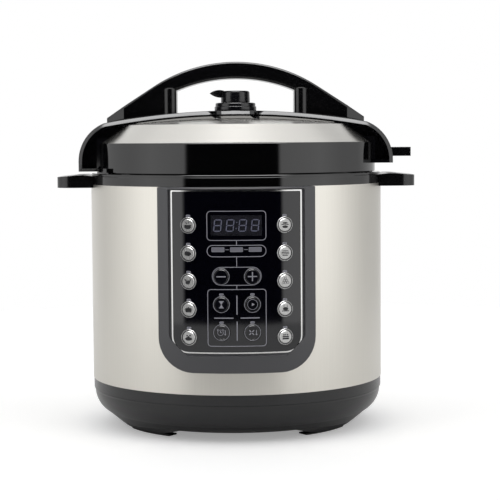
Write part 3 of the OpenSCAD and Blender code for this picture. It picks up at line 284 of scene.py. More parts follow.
# The same black from a finely polished tool, a little softer in its reflections.
SATIN_BLACK = Finish(
    "satin_black_abs", "#0b0b0d", Grain.MOULDED, 0.2, ior=1.55,
    spacing=0.6, relief=0.0015, swing=0.25,
)
# Heat-proof polypropylene of the base, spark-eroded satin.
BASE_BLACK = Finish(
    "satin_black_polypropylene", "#121214", Grain.MOULDED, 0.24, ior=1.55,
    spacing=0.7, relief=0.002, swing=0.25,
)
FOOT_RUBBER = Finish(
    "matt_foot_rubber", "#0c0c0c", Grain.MOULDED, 0.7, spacing=0.5, relief=0.01
)
VALVE_GREY = Finish(
    "satin_charcoal_nylon", "#16161a", Grain.MOULDED, 0.22, ior=1.58,
    spacing=0.5, relief=0.0015,
)
BEZEL_GREY = Finish(
    "satin_grey_bezel_paint", "#48484b", Grain.MOULDED, 0.36, ior=1.5,
    spacing=0.5, relief=0.001, tone=0.04,
)
TRIM_CHROME = Finish(
    "hot_stamped_chrome", "#dcdcda", Grain.POLISHED, 0.16, 1.0, spacing=6.0, relief=0.0
)
# Back-printed acrylic: deep blue-black under a clear glossy face.
PANEL_ACRYLIC = Finish(
    "back_printed_acrylic", "#05050c", Grain.POLISHED, 0.05, ior=1.49,
    spacing=40.0, relief=0.01, coat=0.4,
)
DISPLAY_LENS = Finish(
    "smoked_display_lens", "#8f8f9c", Grain.POLISHED, 0.05, ior=1.49,
    spacing=30.0, relief=0.0, transmission=1.0,
)
DISPLAY_BLOCK = Finish(
    "display_epoxy_block", "#17171c", Grain.MOULDED, 0.5, spacing=0.5, relief=0.002
)
DISPLAY_LED = Finish(
    "lit_display_segments", "#dfe3ee", Grain.MOULDED, 0.6, spacing=0.5, relief=0.0, glow=0.35
)
LAMP_LENS = Finish(
    "diffusing_lamp_lens", "#7d7d86", Grain.MOULDED, 0.3, spacing=0.4, relief=0.002,
    subsurface=0.2,
)
BUTTON_CHROME = Finish(
    "satin_chrome_key", "#c9c9c8", Grain.BRUSHED_UP, 0.27, 1.0,
    spacing=0.3, relief=0.0, tone=0.05,
)
BUTTON_DARK = Finish(
    "glossy_dark_key", "#08080f", Grain.POLISHED, 0.08, ior=1.49, spacing=12.0, relief=0.0,
    coat=0.3,
)
# The strap's black is buffed brighter than the handle's, so its rim shines grey.
STRAP_BLACK = Finish(
    "buffed_black_abs", "#0d0d10", Grain.MOULDED, 0.16, ior=1.6,
    spacing=0.6, relief=0.001, swing=0.2,
)
PRINT_SILVER = Finish(
    "silver_screen_print", "#9b9ba4", Grain.MOULDED, 0.45, spacing=0.2, relief=0.0, tone=0.08
)
# Dark print for the icons on the chrome keys; on the ring round each chrome key's middle the
# same finish is painted shade of the gap there.
PRINT_DARK_AND_GAP_SHADE = Finish(
    "dark_pad_print_and_painted_gap_shade", "#17171b", Grain.MOULDED, 0.5, spacing=0.2, relief=0.0
)
CREAM_PLASTIC = Finish(
    "cream_phenolic", "#d6cfbd", Grain.MOULDED, 0.45, spacing=0.8, relief=0.01, tone=0.05
)
CIRCUIT_BOARD = Finish(
    "green_solder_mask", "#1f5b38", Grain.BOARD, 0.35, spacing=0.8, relief=0.03, tone=0.25
)
CLEAR_CUP = Finish(
    "clear_moulded_cup", "#eef0f4", Grain.POLISHED, 0.08, ior=1.57,
    spacing=15.0, relief=0.01, transmission=0.9,
)
SILICONE = Finish(
    "milky_silicone", "#d9d7d0", Grain.MOULDED, 0.5, ior=1.43,
    spacing=0.6, relief=0.004, subsurface=0.35,
)
FLOAT_RED = Finish(
    "red_float_cap", "#9d1a12", Grain.MOULDED, 0.35, spacing=0.5, relief=0.002
)

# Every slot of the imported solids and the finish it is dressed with.
SLOT_FINISHES: dict[str, Finish] = {
    "black_moulding": BASE_BLACK,
    "foot_rubber": FOOT_RUBBER,
    "zinc_steel": ZINC,
    "drum_steel": BRUSHED_WRAP,
    "gloss_black": GLOSS_BLACK,
    "satin_black": SATIN_BLACK,
    "pot_housing": PRESSED_STEEL,
    "cast_aluminium": CAST_ALUMINIUM,
    "spring_steel": SPRING_WIRE,
    "cream_plastic": CREAM_PLASTIC,
    "circuit_board": CIRCUIT_BOARD,
    "pin_brass": PIN_BRASS,
    "clear_cup": CLEAR_CUP,
    "bezel_grey": BEZEL_GREY,
    "trim_chrome": TRIM_CHROME,
    "panel_acrylic": PANEL_ACRYLIC,
    "display_lens": DISPLAY_LENS,
    "display_led": DISPLAY_BLOCK,
    "lamp_lens": LAMP_LENS,
    "button_chrome": BUTTON_CHROME,
    "button_dark": BUTTON_DARK,
    "pot_steel": POT_STEEL,
    "silicone": SILICONE,
    "lid_steel": SPUN_LID,
    "valve_grey": VALVE_GREY,
    "float_red": FLOAT_RED,
}


def dress_solids() -> None:
    """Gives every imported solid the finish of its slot."""
    slots = {part["node"]: part["material_slot"] for part in frame["record"]["subparts"]}
    for name, solid in frame["nodes"].items():
        finish = SLOT_FINISHES[slots[name]]
        for slot in solid.material_slots:
            slot.material = finish.material()
        LOG.info("dressed %s with %s", name, finish.name)


# ---------------------------------------------------------------- bench work


def nothing_selected() -> None:
    """Leaves edit mode and deselects everything."""
    if bpy.context.object and bpy.context.object.mode != "OBJECT":
        bpy.ops.object.mode_set(mode="OBJECT")
    bpy.ops.object.select_all(action="DESELECT")


def only(piece: bpy.types.Object) -> bpy.types.Object:
    """Makes a piece the only selected one and the active one.

    Args:
        piece: the object.

    Returns:
        The piece.
    """
    nothing_selected()
    piece.select_set(True)
    bpy.context.view_layer.objects.active = piece
    return piece


def settle(piece: bpy.types.Object, **place: Sequence[float]) -> None:
    """Moves a piece's place, turn and scale into its mesh.

    Args:
        piece: the object.
        place: its location, rotation_euler or scale, where these are still to be set.
    """
    for name, value in place.items():
        setattr(piece, name, value)
    only(piece)
    bpy.ops.object.transform_apply(location=True, rotation=True, scale=True)


@contextmanager
def all_selected(piece: bpy.types.Object) -> Iterator[None]:
    """Opens a piece for editing with all of it selected, and closes it afterwards.

    Args:
        piece: the object.

    Yields:
        Nothing, while the piece is open.
    """
    only(piece)
    bpy.ops.object.mode_set(mode="EDIT")
    bpy.ops.mesh.select_all(action="SELECT")
    yield
    bpy.ops.object.mode_set(mode="OBJECT")


def joined(pieces: Sequence[bpy.types.Object], name: str) -> bpy.types.Object:
    """Joins pieces into one named object.

    Args:
        pieces: the objects to join.
        name: the joined object's name.

    Returns:
        The joined object.
    """
    only(pieces[0])
    for piece in pieces:
        piece.select_set(True)
    if len(pieces) > 1:
        bpy.ops.object.join()
    result = bpy.context.object
    result.name = name
    result.data.name = name
    return result


def modify(piece: bpy.types.Object, kind: str, **settings: object) -> None:
    """Adds a modifier to a piece and applies it at once.

    Args:
        piece: the object.
        kind: the modifier's type name.
        settings: the modifier's own settings.
    """
    only(piece)
    modifier = piece.modifiers.new(kind.lower(), kind)
    for name, value in settings.items():
        setattr(modifier, name, value)
    bpy.ops.object.modifier_apply(modifier=modifier.name)


def dressed(
    piece: bpy.types.Object, finish: Finish, body: str
) -> bpy.types.Object:
    """Gives a finished piece its material and body.

    Args:
        piece: the finished mesh.
        finish: its material.
        body: the body it rides on.

    Returns:
        The piece.
    """
    piece.data.materials.clear()
    piece.data.materials.append(finish.material())
    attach(piece, body)
    LOG.info("built %s for %s, %d faces", piece.name, body, len(piece.data.polygons))
    return piece


def unpicked(piece: bpy.types.Object, kind: str) -> bpy.types.bpy_prop_collection:
    """Deselects all of a mesh and sets what is selected next.

    Args:
        piece: the object, which ends in object mode.
        kind: "VERT", "EDGE" or "FACE".

    Returns:
        The mesh's vertices, edges or faces.
    """
    only(piece)
    bpy.ops.object.mode_set(mode="EDIT")
    bpy.ops.mesh.select_mode(type=kind)
    bpy.ops.mesh.select_all(action="DESELECT")
    bpy.ops.object.mode_set(mode="OBJECT")
    mesh = piece.data
    return {"VERT": mesh.vertices, "EDGE": mesh.edges, "FACE": mesh.polygons}[kind]


def pick(
    piece: bpy.types.Object, wanted: Callable[[Vector], bool], kind: str = "VERT"
) -> None:
    """Selects a mesh's vertices or faces by their place, in edit mode.

    Args:
        piece: the object, which ends in edit mode.
        wanted: says for a place in metres if what is there is selected.
        kind: "VERT" or "FACE".
    """
    for item in unpicked(piece, kind):
        item.select = wanted(item.co if kind == "VERT" else item.center)
    bpy.ops.object.mode_set(mode="EDIT")


def pick_wide_edges(piece: bpy.types.Object, width: float) -> int:
    """Selects the edges that reach further along X than a width, in edit mode.

    Args:
        piece: the object, which ends in edit mode.
        width: the width in millimetres.

    Returns:
        How many are selected.
    """
    count = 0
    for edge in unpicked(piece, "EDGE"):
        a, b = (piece.data.vertices[i].co for i in edge.vertices)
        edge.select = abs(a.x - b.x) > width * MM
        count += edge.select
    bpy.ops.object.mode_set(mode="EDIT")
    return count


# ---------------------------------------------------------------- printed marks


class Shape(Enum):
    """The few shapes that printed marks are cut from."""

    BAR = "a rectangle"
    DISC = "a round spot"
    RING = "a thin round line"
    WEDGE = "a triangle that points up"


@dataclass(frozen=True)
class Mark:
    """One shape of an icon, placed by its middle, in millimetres; turn is in degrees."""

    shape: Shape
    x: float
    z: float
    w: float
    h: float
    turn: float = 0.0


def cut_mark(mark: Mark, line: float = 0.35) -> bpy.types.Object:
    """Cuts one flat mark in the XZ plane.

    Args:
        mark: the shape and its size.
        line: width of a ring's line, in millimetres.

    Returns:
        A flat mesh at y = 0 that faces -Y.
    """
    nothing_selected()
    if mark.shape is Shape.BAR:
        bpy.ops.mesh.primitive_plane_add(size=MM)
    else:
        corners = 3 if mark.shape is Shape.WEDGE else 24
        bpy.ops.mesh.primitive_circle_add(vertices=corners, radius=MM / 2, fill_type="NGON")
    piece = bpy.context.object
    settle(piece, scale=(mark.w, mark.h, 1.0))
    if mark.shape is Shape.RING:
        with all_selected(piece):
            bpy.ops.mesh.inset(thickness=line * MM)
            bpy.ops.mesh.delete(type="FACE")
    settle(piece, rotation_euler=UPRIGHT)
    turn = (0.0, math.radians(-mark.turn), 0.0)
    settle(piece, rotation_euler=turn, location=(mark.x * MM, 0.0, mark.z * MM))
    return piece


def cut_outline(w: float, h: float, r: float, line: float) -> bpy.types.Object:
    """Cuts a thin rounded outline in the XZ plane, round the origin.

    Args:
        w: width over the line's middle, in millimetres.
        h: height over the line's middle.
        r: radius of its corners.
        line: width of the line.

    Returns:
        A flat mesh that faces -Y.
    """
    nothing_selected()
    bpy.ops.mesh.primitive_plane_add(size=MM)
    piece = bpy.context.object
    settle(piece, scale=(w + line, h + line, 1.0))
    with all_selected(piece):
        bpy.ops.mesh.bevel(offset=(r + line / 2) * MM, segments=8, affect="VERTICES")
        bpy.ops.mesh.inset(thickness=line * MM)
        bpy.ops.mesh.delete(type="FACE")
    settle(piece, rotation_euler=UPRIGHT)
    return piece


def cut_strip(x0: float, z0: float, x1: float, z1: float) -> bpy.types.Object:
    """Cuts a flat rectangle in the XZ plane between two corners, in millimetres."""
    return cut_mark(Mark(Shape.BAR, (x0 + x1) / 2, (z0 + z1) / 2, abs(x1 - x0), abs(z1 - z0)))


def shifted(piece: bpy.types.Object, x: float, z: float) -> bpy.types.Object:
    """Moves a flat piece along X and Z, in millimetres."""
    settle(piece, location=(x * MM, 0.0, z * MM))
    return piece


def split_long_edges(piece: bpy.types.Object, step: float = 3.0) -> None:
    """Divides a flat piece's level edges so that it can bend round the drum.

    Args:
        piece: the flat mesh.
        step: longest edge that stays whole, in millimetres.
    """
    for _ in range(6):
        found = pick_wide_edges(piece, step)
        if found:
            bpy.ops.mesh.subdivide(number_cuts=1)
        bpy.ops.object.mode_set(mode="OBJECT")
        if not found:
            return


def wrap_round(piece: bpy.types.Object, radius: float) -> None:
    """Presses a flat piece straight back onto a round former.

    Args:
        piece: the flat mesh in the XZ plane.
        radius: the former's radius, in millimetres.
    """
    nothing_selected()
    bpy.ops.mesh.primitive_cylinder_add(vertices=1440, radius=radius * MM, depth=0.6)
    former = bpy.context.object
    modify(
        piece,
        "SHRINKWRAP",
        target=former,
        wrap_method="PROJECT",
        use_project_y=True,
        use_project_x=False,
        use_project_z=False,
        use_negative_direction=True,
        use_positive_direction=False,
    )
    only(former)
    bpy.ops.object.delete()


def press_on_drum(piece: bpy.types.Object, radius: float, thickness: float) -> None:
    """Wraps a flat piece round a former and thickens it outwards.

    Args:
        piece: the flat mesh in the XZ plane.
        radius: the former's radius, in millimetres.
        thickness: what the piece stands out from the former, in millimetres.
    """
    split_long_edges(piece)
    wrap_round(piece, radius)
    modify(piece, "SOLIDIFY", thickness=thickness * MM, offset=1.0)


# ---------------------------------------------------------------- control panel


@dataclass(frozen=True)
class ShieldLoop:
    """One outline of the panel's frame, in millimetres, at its own radius from the axis."""

    width: float
    low: float
    high: float
    corner: float
    radius: float
    profile: float = 0.5


@dataclass
class PanelFrame:
    """The grey frame: a sloping face, a crest and a groove beside the bright trim."""

    loops: tuple[ShieldLoop, ...] = (
        ShieldLoop(146.0, 67.0, 238.1, 32.0, 144.1),
        ShieldLoop(145.6, 67.2, 238.0, 31.8, 145.0),
        ShieldLoop(126.4, 82.6, 236.6, 18.0, 147.2, 0.3),
        ShieldLoop(125.2, 83.2, 236.3, 17.4, 147.0, 0.3),
        ShieldLoop(124.8, 83.4, 236.2, 17.3, 146.0),
        ShieldLoop(120.6, 85.5, 235.5, 15.3, 145.5),
        ShieldLoop(120.5, 85.5, 235.5, 15.3, 143.4),
    )
    level_edge: float = 40.0
    level_cuts: int = 40

    def outline(self, loop: ShieldLoop) -> bpy.types.Object:
        """Bends one outline round the drum.

        Args:
            loop: the outline.

        Returns:
            A closed loop of edges with as many points as every other outline.
        """
        nothing_selected()
        bpy.ops.mesh.primitive_plane_add(size=MM)
        piece = bpy.context.object
        settle(piece, scale=(loop.width, loop.high - loop.low, 1.0))
        for side, radius, segments in ((-1, loop.corner, 10), (1, 1.0, 2)):
            pick(piece, lambda p, side=side: p.y * side > 0.3 * (loop.high - loop.low) * MM)
            bpy.ops.mesh.bevel(
                offset=radius * MM, segments=segments, profile=loop.profile, affect="VERTICES"
            )
        bpy.ops.mesh.select_all(action="SELECT")
        bpy.ops.mesh.delete(type="ONLY_FACE")
        pick_wide_edges(piece, self.level_edge)
        bpy.ops.mesh.subdivide(number_cuts=self.level_cuts)
        bpy.ops.object.mode_set(mode="OBJECT")
        middle = (0.0, 0.0, (loop.low + loop.high) / 2 * MM)
        settle(piece, rotation_euler=UPRIGHT, location=middle)
        wrap_round(piece, loop.radius)
        return piece

    def build(self) -> bpy.types.Object:
        """Bridges the outlines into the closed frame that stands for the solid one.

        Returns:
            The frame.
        """
        piece = joined([self.outline(loop) for loop in self.loops], "panel_frame")
        radii = [loop.radius for loop in self.loops]
        for first, second in zip(radii, radii[1:] + radii[:1]):
            pick(
                piece,
                lambda p: min(abs(p.xy.length / MM - r) for r in (first, second)) < 0.03,
            )
            bpy.ops.mesh.bridge_edge_loops()
        bpy.ops.mesh.select_all(action="SELECT")
        bpy.ops.mesh.normals_make_consistent(inside=False)
        bpy.ops.object.mode_set(mode="OBJECT")
        bpy.ops.object.shade_smooth_by_angle(angle=math.radians(25))
        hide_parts("panel_bezel")
        return dressed(piece, BEZEL_GREY, "cooker_body")


@dataclass(frozen=True)
class Key:
    """A button's name, its middle in millimetres and the icon on it."""

    name: str
    x: float
    z: float
    icon: tuple[Mark, ...]
    dark: bool = False


BAR, DISC, RING, WEDGE = Shape.BAR, Shape.DISC, Shape.RING, Shape.WEDGE


@dataclass
class Console:
    """The printed linework, the icons and the rings of the control panel; the dark rings on the
    chrome keys are painted shade of the gaps round the keys.
    """

    plate_r: float = 146.1
    key_rise: float = 1.6
    column_x: float = 44.1
    low_z: float = 100.3
    pitch: float = 25.75
    centre_x: float = 14.15
    adjust_z: float = 156.6
    function_z: float = 131.0
    line: float = 0.62
    print_depth: float = 0.05
    window_z: float = 203.2
    digit_r: float = 145.02
    digit_w: float = 7.2
    digit_h: float = 11.2
    digit_pitch: float = 11.4
    digit_line: float = 0.9
    digit_lean: float = 6.0
    # Width, height, corner radius and middle height of the display's, the mode lamps',
    # the adjusting buttons' and the function buttons' frames.
    frames: tuple[tuple[float, float, float, float], ...] = (
        (53.8, 26.6, 3.4, 203.0), (53.8, 10.4, 5.1, 179.9),
        (44.8, 16.5, 8.15, 156.85), (53.4, 52.1, 3.0, 118.65),
    )

    def keys(self) -> list[Key]:
        """Lists every button with its icon.

        Returns:
            The buttons.
        """
        thermometer = (Mark(BAR, 3.4, 0.6, 0.6, 3.4), Mark(DISC, 3.4, -1.6, 1.5, 1.5))
        left = {
            1: (Mark(DISC, 0, -1.6, 6.4, 3.4), Mark(BAR, 0, -0.2, 6.6, 1.2),
                Mark(BAR, -1.4, 2.2, 0.6, 2.0, 20), Mark(BAR, 0.9, 2.6, 0.6, 2.4, -20)),
            2: (Mark(DISC, 0, 0.2, 6.6, 3.6, -16), Mark(DISC, -0.6, -1.0, 5.0, 2.4, -16)),
            3: (Mark(DISC, -0.2, -0.6, 4.6, 3.6, 20), Mark(WEDGE, 2.4, 1.6, 2.0, 3.0, -30),
                Mark(WEDGE, -2.4, 1.4, 2.4, 3.2, 40), Mark(BAR, 0.2, -2.6, 0.5, 1.6)),
            4: (Mark(BAR, 0, -1.0, 5.6, 3.0), Mark(DISC, 0, 0.9, 6.2, 1.6),
                Mark(BAR, 0, 2.0, 1.0, 0.9), Mark(BAR, 0, -0.2, 7.4, 0.8)),
            5: (Mark(DISC, 0, -1.2, 6.8, 3.4), Mark(DISC, -1.5, 1.6, 1.5, 1.5),
                Mark(DISC, 1.4, 1.9, 1.7, 1.7), Mark(DISC, 0, 0.6, 1.6, 1.6)),
        }
        right = {
            1: (Mark(BAR, 0, 0.3, 7.4, 0.7), Mark(DISC, 0, -1.8, 5.6, 2.4),
                Mark(DISC, 0, 1.7, 5.2, 1.5)),
            2: tuple(Mark(BAR, 0, z, w, 0.7) for z, w in ((1.9, 5.6), (0.5, 7.2), (-0.9, 7.2),
                                                        (-2.3, 5.2))),
            3: tuple(Mark(RING, x, z, 2.4, 2.4) for x, z in ((-2.4, -1.7), (0, -1.7),
                     (2.4, -1.7), (-1.2, 0.5), (1.2, 0.5), (0, 2.5))),
            4: (Mark(BAR, 0, -1.8, 6.8, 0.9), Mark(DISC, 0, 0.2, 5.4, 3.0),
                Mark(BAR, -1.5, 2.7, 0.6, 1.6), Mark(BAR, 1.5, 2.7, 0.6, 1.6)),
            5: (Mark(BAR, 0, -1.6, 6.2, 1.5), Mark(BAR, 0, 0.2, 6.2, 1.2),
                Mark(DISC, -1.8, 1.9, 1.3, 1.6), Mark(DISC, 0, 2.1, 1.3, 1.6),
                Mark(DISC, 1.8, 1.9, 1.3, 1.6)),
        }
        found = []
        for row in range(1, 6):
            z = self.low_z + (5 - row) * self.pitch
            found.append(Key(f"left_{row}", -self.column_x, z, left[row]))
            found.append(Key(f"right_{row}", self.column_x, z, right[row]))
        sign = (Mark(BAR, 0, 0, 8.6, 1.0),)
        found.append(Key("minus", -self.centre_x, self.adjust_z, sign, True))
        found.append(
            Key("plus", self.centre_x, self.adjust_z, sign + (Mark(BAR, 0, 0, 1.0, 8.6),), True)
        )
        timer = (
            Mark(WEDGE, 0, 1.6, 3.8, 3.8, 180), Mark(WEDGE, 0, -1.6, 3.8, 3.8),
            Mark(BAR, 0, 3.0, 4.4, 0.7), Mark(BAR, 0, -3.0, 4.4, 0.7),
        )
        start = (Mark(WEDGE, 0.2, 0, 3.4, 3.6, -90), Mark(RING, 0, 0, 9.6, 9.6))
        clock = (
            Mark(RING, -0.9, 0.0, 5.6, 5.6), Mark(BAR, -0.9, 0.9, 0.5, 1.9),
            Mark(BAR, -0.2, 0.0, 1.6, 0.5), Mark(BAR, -3.4, 2.6, 1.6, 0.7, 45),
            Mark(BAR, 1.6, 2.6, 1.6, 0.7, -45),
        ) + thermometer
        warm = tuple(
            Mark(BAR, -1.0 + 1.9 * math.cos(math.radians(a)), 1.9 * math.sin(math.radians(a)),
                 2.2, 0.9, a)
            for a in (45, 135, 225, 315)
        ) + thermometer
        low = self.function_z - self.pitch
        for number, icon in enumerate((timer, start, clock, warm)):
            x = self.centre_x * (1 if number % 2 else -1)
            z = self.function_z if number < 2 else low
            found.append(Key(f"function_{number + 1}", x, z, icon, True))
        return found

    def linework(self) -> bpy.types.Object:
        """Screen-prints the frames and the lines that link them on the glossy plate.

        Returns:
            The linework.
        """
        line = self.line
        parts = [shifted(cut_outline(w, h, r, line), 0, z) for w, h, r, z in self.frames]
        half = line / 2
        for z0, z1 in ((185.4, 189.4), (165.4, 174.4), (145.0, 148.3)):
            parts.append(cut_strip(-half, z0, half, z1))
        for z0, z1 in ((121.6, 139.2), (97.7, 115.3)):
            parts.append(cut_strip(-half * 1.5, z0, half * 1.5, z1))
        bold = half * 1.5
        for side in (-1, 1):
            parts.append(cut_strip(side * 3.2, 118.5 - bold, side * 20.8, 118.5 + bold))
            parts.append(cut_strip(side * 6.7, 181.0, side * 10.3, 181.4))
        for x in (-17, 0, 17):
            parts.append(shifted(cut_outline(11.3, 3.9, 0.6, 0.4), x, 181.2))
        piece = joined(parts, "console_linework")
        press_on_drum(piece, self.plate_r - 0.01, self.print_depth)
        return dressed(piece, PRINT_SILVER, "cooker_body")

    def place_on_key(self, piece: bpy.types.Object, key: Key, reach: float) -> None:
        """Turns a flat piece to face out of the drum and puts it on a button.

        Args:
            piece: the flat piece round the origin, facing -Y.
            key: the button.
            reach: distance of its face from the axis, in millimetres.
        """
        turn = math.asin(key.x / self.plate_r)
        x, y = math.sin(turn) * reach * MM, -math.cos(turn) * reach * MM
        settle(piece, rotation_euler=(0.0, 0.0, turn), location=(x, y, key.z * MM))

    def dress_print_or_gap_shade(self, piece: bpy.types.Object, key: Key) -> bpy.types.Object:
        """Dresses a button's print or ring: silver on a dark button, dark on a chrome one,
        where the dark ring is painted shade of the gap round the key's middle.
        """
        finish, slot = (PRINT_SILVER, "lamp_lens") if key.dark else (PRINT_DARK_AND_GAP_SHADE, "button_dark")
        return dressed(piece, finish, f"key_{key.name}")

    def icon(self, key: Key) -> bpy.types.Object:
        """Prints a button's icon on its face.

        Args:
            key: the button.

        Returns:
            The icon.
        """
        marks = [cut_mark(mark) for mark in key.icon]
        piece = joined(marks, f"icon_{key.name}")
        modify(piece, "SOLIDIFY", thickness=self.print_depth * MM, offset=1.0)
        self.place_on_key(piece, key, self.plate_r + self.key_rise)
        return self.dress_print_or_gap_shade(piece, key)

    def key_ring(self, key: Key) -> bpy.types.Object:
        """Turns the ring round a button's raised middle: on a chrome button a dark ring,
        painted shade of the gap round its foot; on a dark button a silver rim.

        Args:
            key: the button.

        Returns:
            The ring.
        """
        sizes = (7.15, 7.55, 0.96, 0.05) if key.dark else (5.95, 6.85, 1.0, 0.35)
        inner, outer, rise, drop = sizes
        nothing_selected()
        bpy.ops.mesh.primitive_circle_add(vertices=64, radius=outer * MM, fill_type="NGON")
        piece = bpy.context.object
        with all_selected(piece):
            bpy.ops.mesh.inset(thickness=(outer - inner) * MM)
            bpy.ops.mesh.delete(type="FACE")
        settle(piece, rotation_euler=UPRIGHT)
        modify(piece, "SOLIDIFY", thickness=drop * MM, offset=-1.0)
        self.place_on_key(piece, key, self.plate_r + rise + 0.02)
        piece.name = f"ring_{key.name}"
        return self.dress_print_or_gap_shade(piece, key)

    def slanted_bar(self, x: float, z: float, w: float, h: float) -> bpy.types.Object:
        """Cuts one bar of the display, moved over and leaned with its height.

        Args:
            x: its place across at mid-height, in millimetres.
            z: its height over the window's middle.
            w: its width.
            h: its height; only upright bars lean.

        Returns:
            The flat bar.
        """
        lean = math.radians(self.digit_lean)
        bar = cut_mark(Mark(Shape.BAR, 0, 0, w, h))
        place = ((x + z * math.tan(lean)) * MM, 0, (self.window_z + z) * MM)
        settle(bar, rotation_euler=(0, lean if h > w else 0, 0), location=place)
        return bar

    def digits(self) -> bpy.types.Object:
        """Lights the display: four slanted eights and the colon between them.

        Returns:
            The digits.
        """
        w, h, line = self.digit_w, self.digit_h, self.digit_line
        bars = [self.slanted_bar(0, side * h / 4, line, line) for side in (-1, 1)]
        for digit in range(4):
            x = (digit - 1.5) * self.digit_pitch
            for level in (-1, 0, 1):
                z = level * (h - line) / 2
                bars.append(self.slanted_bar(x, z, w - 2.6 * line, line))
            for side, half in ((-1, -1), (-1, 1), (1, -1), (1, 1)):
                place = (x + side * (w - line) / 2, half * (h - line) / 4)
                bars.append(self.slanted_bar(*place, line, h / 2 - 1.2 * line))
        piece = joined(bars, "display_digits")
        press_on_drum(piece, self.digit_r, 0.06)
        return dressed(piece, DISPLAY_LED, "cooker_body")

    def lamp_rims(self) -> bpy.types.Object:
        """Sets a thin bright rim round each small lamp.

        Returns:
            The rims.
        """
        parts = []
        for key in self.keys():
            if key.name in ("minus", "plus"):
                continue
            rise = 9.1 if key.dark else 8.7
            parts.append(shifted(cut_outline(3.7, 1.6, 0.79, 0.45), key.x, key.z + rise))
        piece = joined(parts, "lamp_rims")
        press_on_drum(piece, self.plate_r - 0.01, self.print_depth + 0.04)
        return dressed(piece, PRINT_SILVER, "cooker_body")

    def build(self) -> None:
        """Builds every printed part of the panel."""
        self.linework()
        self.digits()
        self.lamp_rims()
        for key in self.keys():
            self.icon(key)
            self.key_ring(key)


# ---------------------------------------------------------------- traced outlines


class Outline:
    """Traces a closed outline in the XZ plane, in millimetres, one stroke after another."""

    def __init__(self, x: float, z: float) -> None:
        """Sets the pencil down at the outline's first point.

        Args:
            x: the point's place across.
            z: the point's height.
        """
        nothing_selected()
        bpy.ops.mesh.primitive_plane_add(size=MM)
        self.piece = bpy.context.object
        bpy.ops.object.mode_set(mode="EDIT")
        bpy.ops.mesh.select_mode(type="VERT")
        bpy.ops.mesh.select_all(action="SELECT")
        bpy.ops.mesh.merge(type="CENTER")
        bpy.ops.transform.translate(value=(x * MM, 0.0, z * MM))
        self.x, self.z = x, z

    def line(self, x: float, z: float) -> "Outline":
        """Draws a straight stroke to a point.

        Args:
            x: the point's place across.
            z: the point's height.

        Returns:
            The outline, for the next stroke.
        """
        bpy.ops.mesh.extrude_region_move(
            TRANSFORM_OT_translate={"value": ((x - self.x) * MM, 0.0, (z - self.z) * MM)}
        )
        self.x, self.z = x, z
        return self

    def arc(self, cx: float, cz: float, turn: float, steps: int) -> "Outline":
        """Draws an arc round a centre.

        Args:
            cx: the centre's place across.
            cz: the centre's height.
            turn: degrees, anticlockwise as seen from the front.
            steps: straight pieces that the arc is drawn with.

        Returns:
            The outline, for the next stroke.
        """
        reach = math.hypot(self.x - cx, self.z - cz)
        start = math.atan2(self.z - cz, self.x - cx)
        for step in range(1, steps + 1):
            angle = start + math.radians(turn) * step / steps
            self.line(cx + reach * math.cos(angle), cz + reach * math.sin(angle))
        return self

    def bow(self, x: float, z: float, sag: float, steps: int) -> "Outline":
        """Draws an arc to a point, bulging to the right of the way there.

        Args:
            x: the point's place across.
            z: the point's height.
            sag: how far the arc's middle stands off the straight way.
            steps: straight pieces that the arc is drawn with.

        Returns:
            The outline, for the next stroke.
        """
        along, up = x - self.x, z - self.z
        length = math.hypot(along, up)
        radius = (length * length / 4 + sag * sag) / (2 * sag)
        back = (radius - sag) / length
        middle_x, middle_z = (x + self.x) / 2 - back * up, (z + self.z) / 2 + back * along
        turn = 2 * math.degrees(math.asin(length / 2 / radius))
        return self.arc(middle_x, middle_z, turn, steps)

    def closed(self, name: str) -> bpy.types.Object:
        """Turns the closed piece's faces outwards, leaves edit mode and names it.

        Args:
            name: the piece's name.

        Returns:
            The piece.
        """
        bpy.ops.mesh.select_all(action="SELECT")
        bpy.ops.mesh.normals_make_consistent(inside=False)
        bpy.ops.object.mode_set(mode="OBJECT")
        self.piece.name = self.piece.data.name = name
        return self.piece

    def slab(self, name: str, front: float, back: float) -> bpy.types.Object:
        """Closes the outline and thickens it from one depth to another.

        Args:
            name: the piece's name.
            front: place of its front face along Y, in millimetres.
            back: place of its back face.

        Returns:
            The closed piece.
        """
        bpy.ops.mesh.select_all(action="SELECT")
        bpy.ops.mesh.edge_face_add()
        bpy.ops.transform.translate(value=(0.0, front * MM, 0.0))
        bpy.ops.mesh.extrude_region_move(
            TRANSFORM_OT_translate={"value": (0.0, (back - front) * MM, 0.0)}
        )
        return self.closed(name)

    def turned(self, name: str, steps: int = 180, angle: float = 360.0) -> bpy.types.Object:
        """Closes the outline and spins it round the upright axis.

        Args:
            name: the piece's name.
            steps: straight pieces round the turn.
            angle: degrees of the turn, clockwise from above.

        Returns:
            The closed piece.
        """
        bpy.ops.mesh.select_all(action="SELECT")
        bpy.ops.mesh.edge_face_add()
        if angle >= 360.0:
            bpy.ops.mesh.delete(type="ONLY_FACE")
            bpy.ops.mesh.select_all(action="SELECT")
        bpy.ops.mesh.spin(
            steps=steps, angle=math.radians(angle), center=(0, 0, 0), axis=(0, 0, 1)
        )
        bpy.ops.mesh.select_all(action="SELECT")
        bpy.ops.mesh.remove_doubles(threshold=0.001 * MM)
        bpy.ops.mesh.delete_loose()
        return self.closed(name)


def quarter(radius: float, steps: int = 5) -> list[tuple[float, float]]:
    """Splits a quarter round into strokes inwards and outwards, in millimetres.

    Args:
        radius: the quarter round's radius.
        steps: how many strokes it is split into.

    Returns:
        How far each stroke goes inwards and outwards.
    """
    turns = [math.radians(90 * step / steps) for step in range(steps + 1)]
    return [
        (radius * (math.cos(a) - math.cos(b)), radius * (math.sin(b) - math.sin(a)))
        for a, b in zip(turns, turns[1:])
    ]


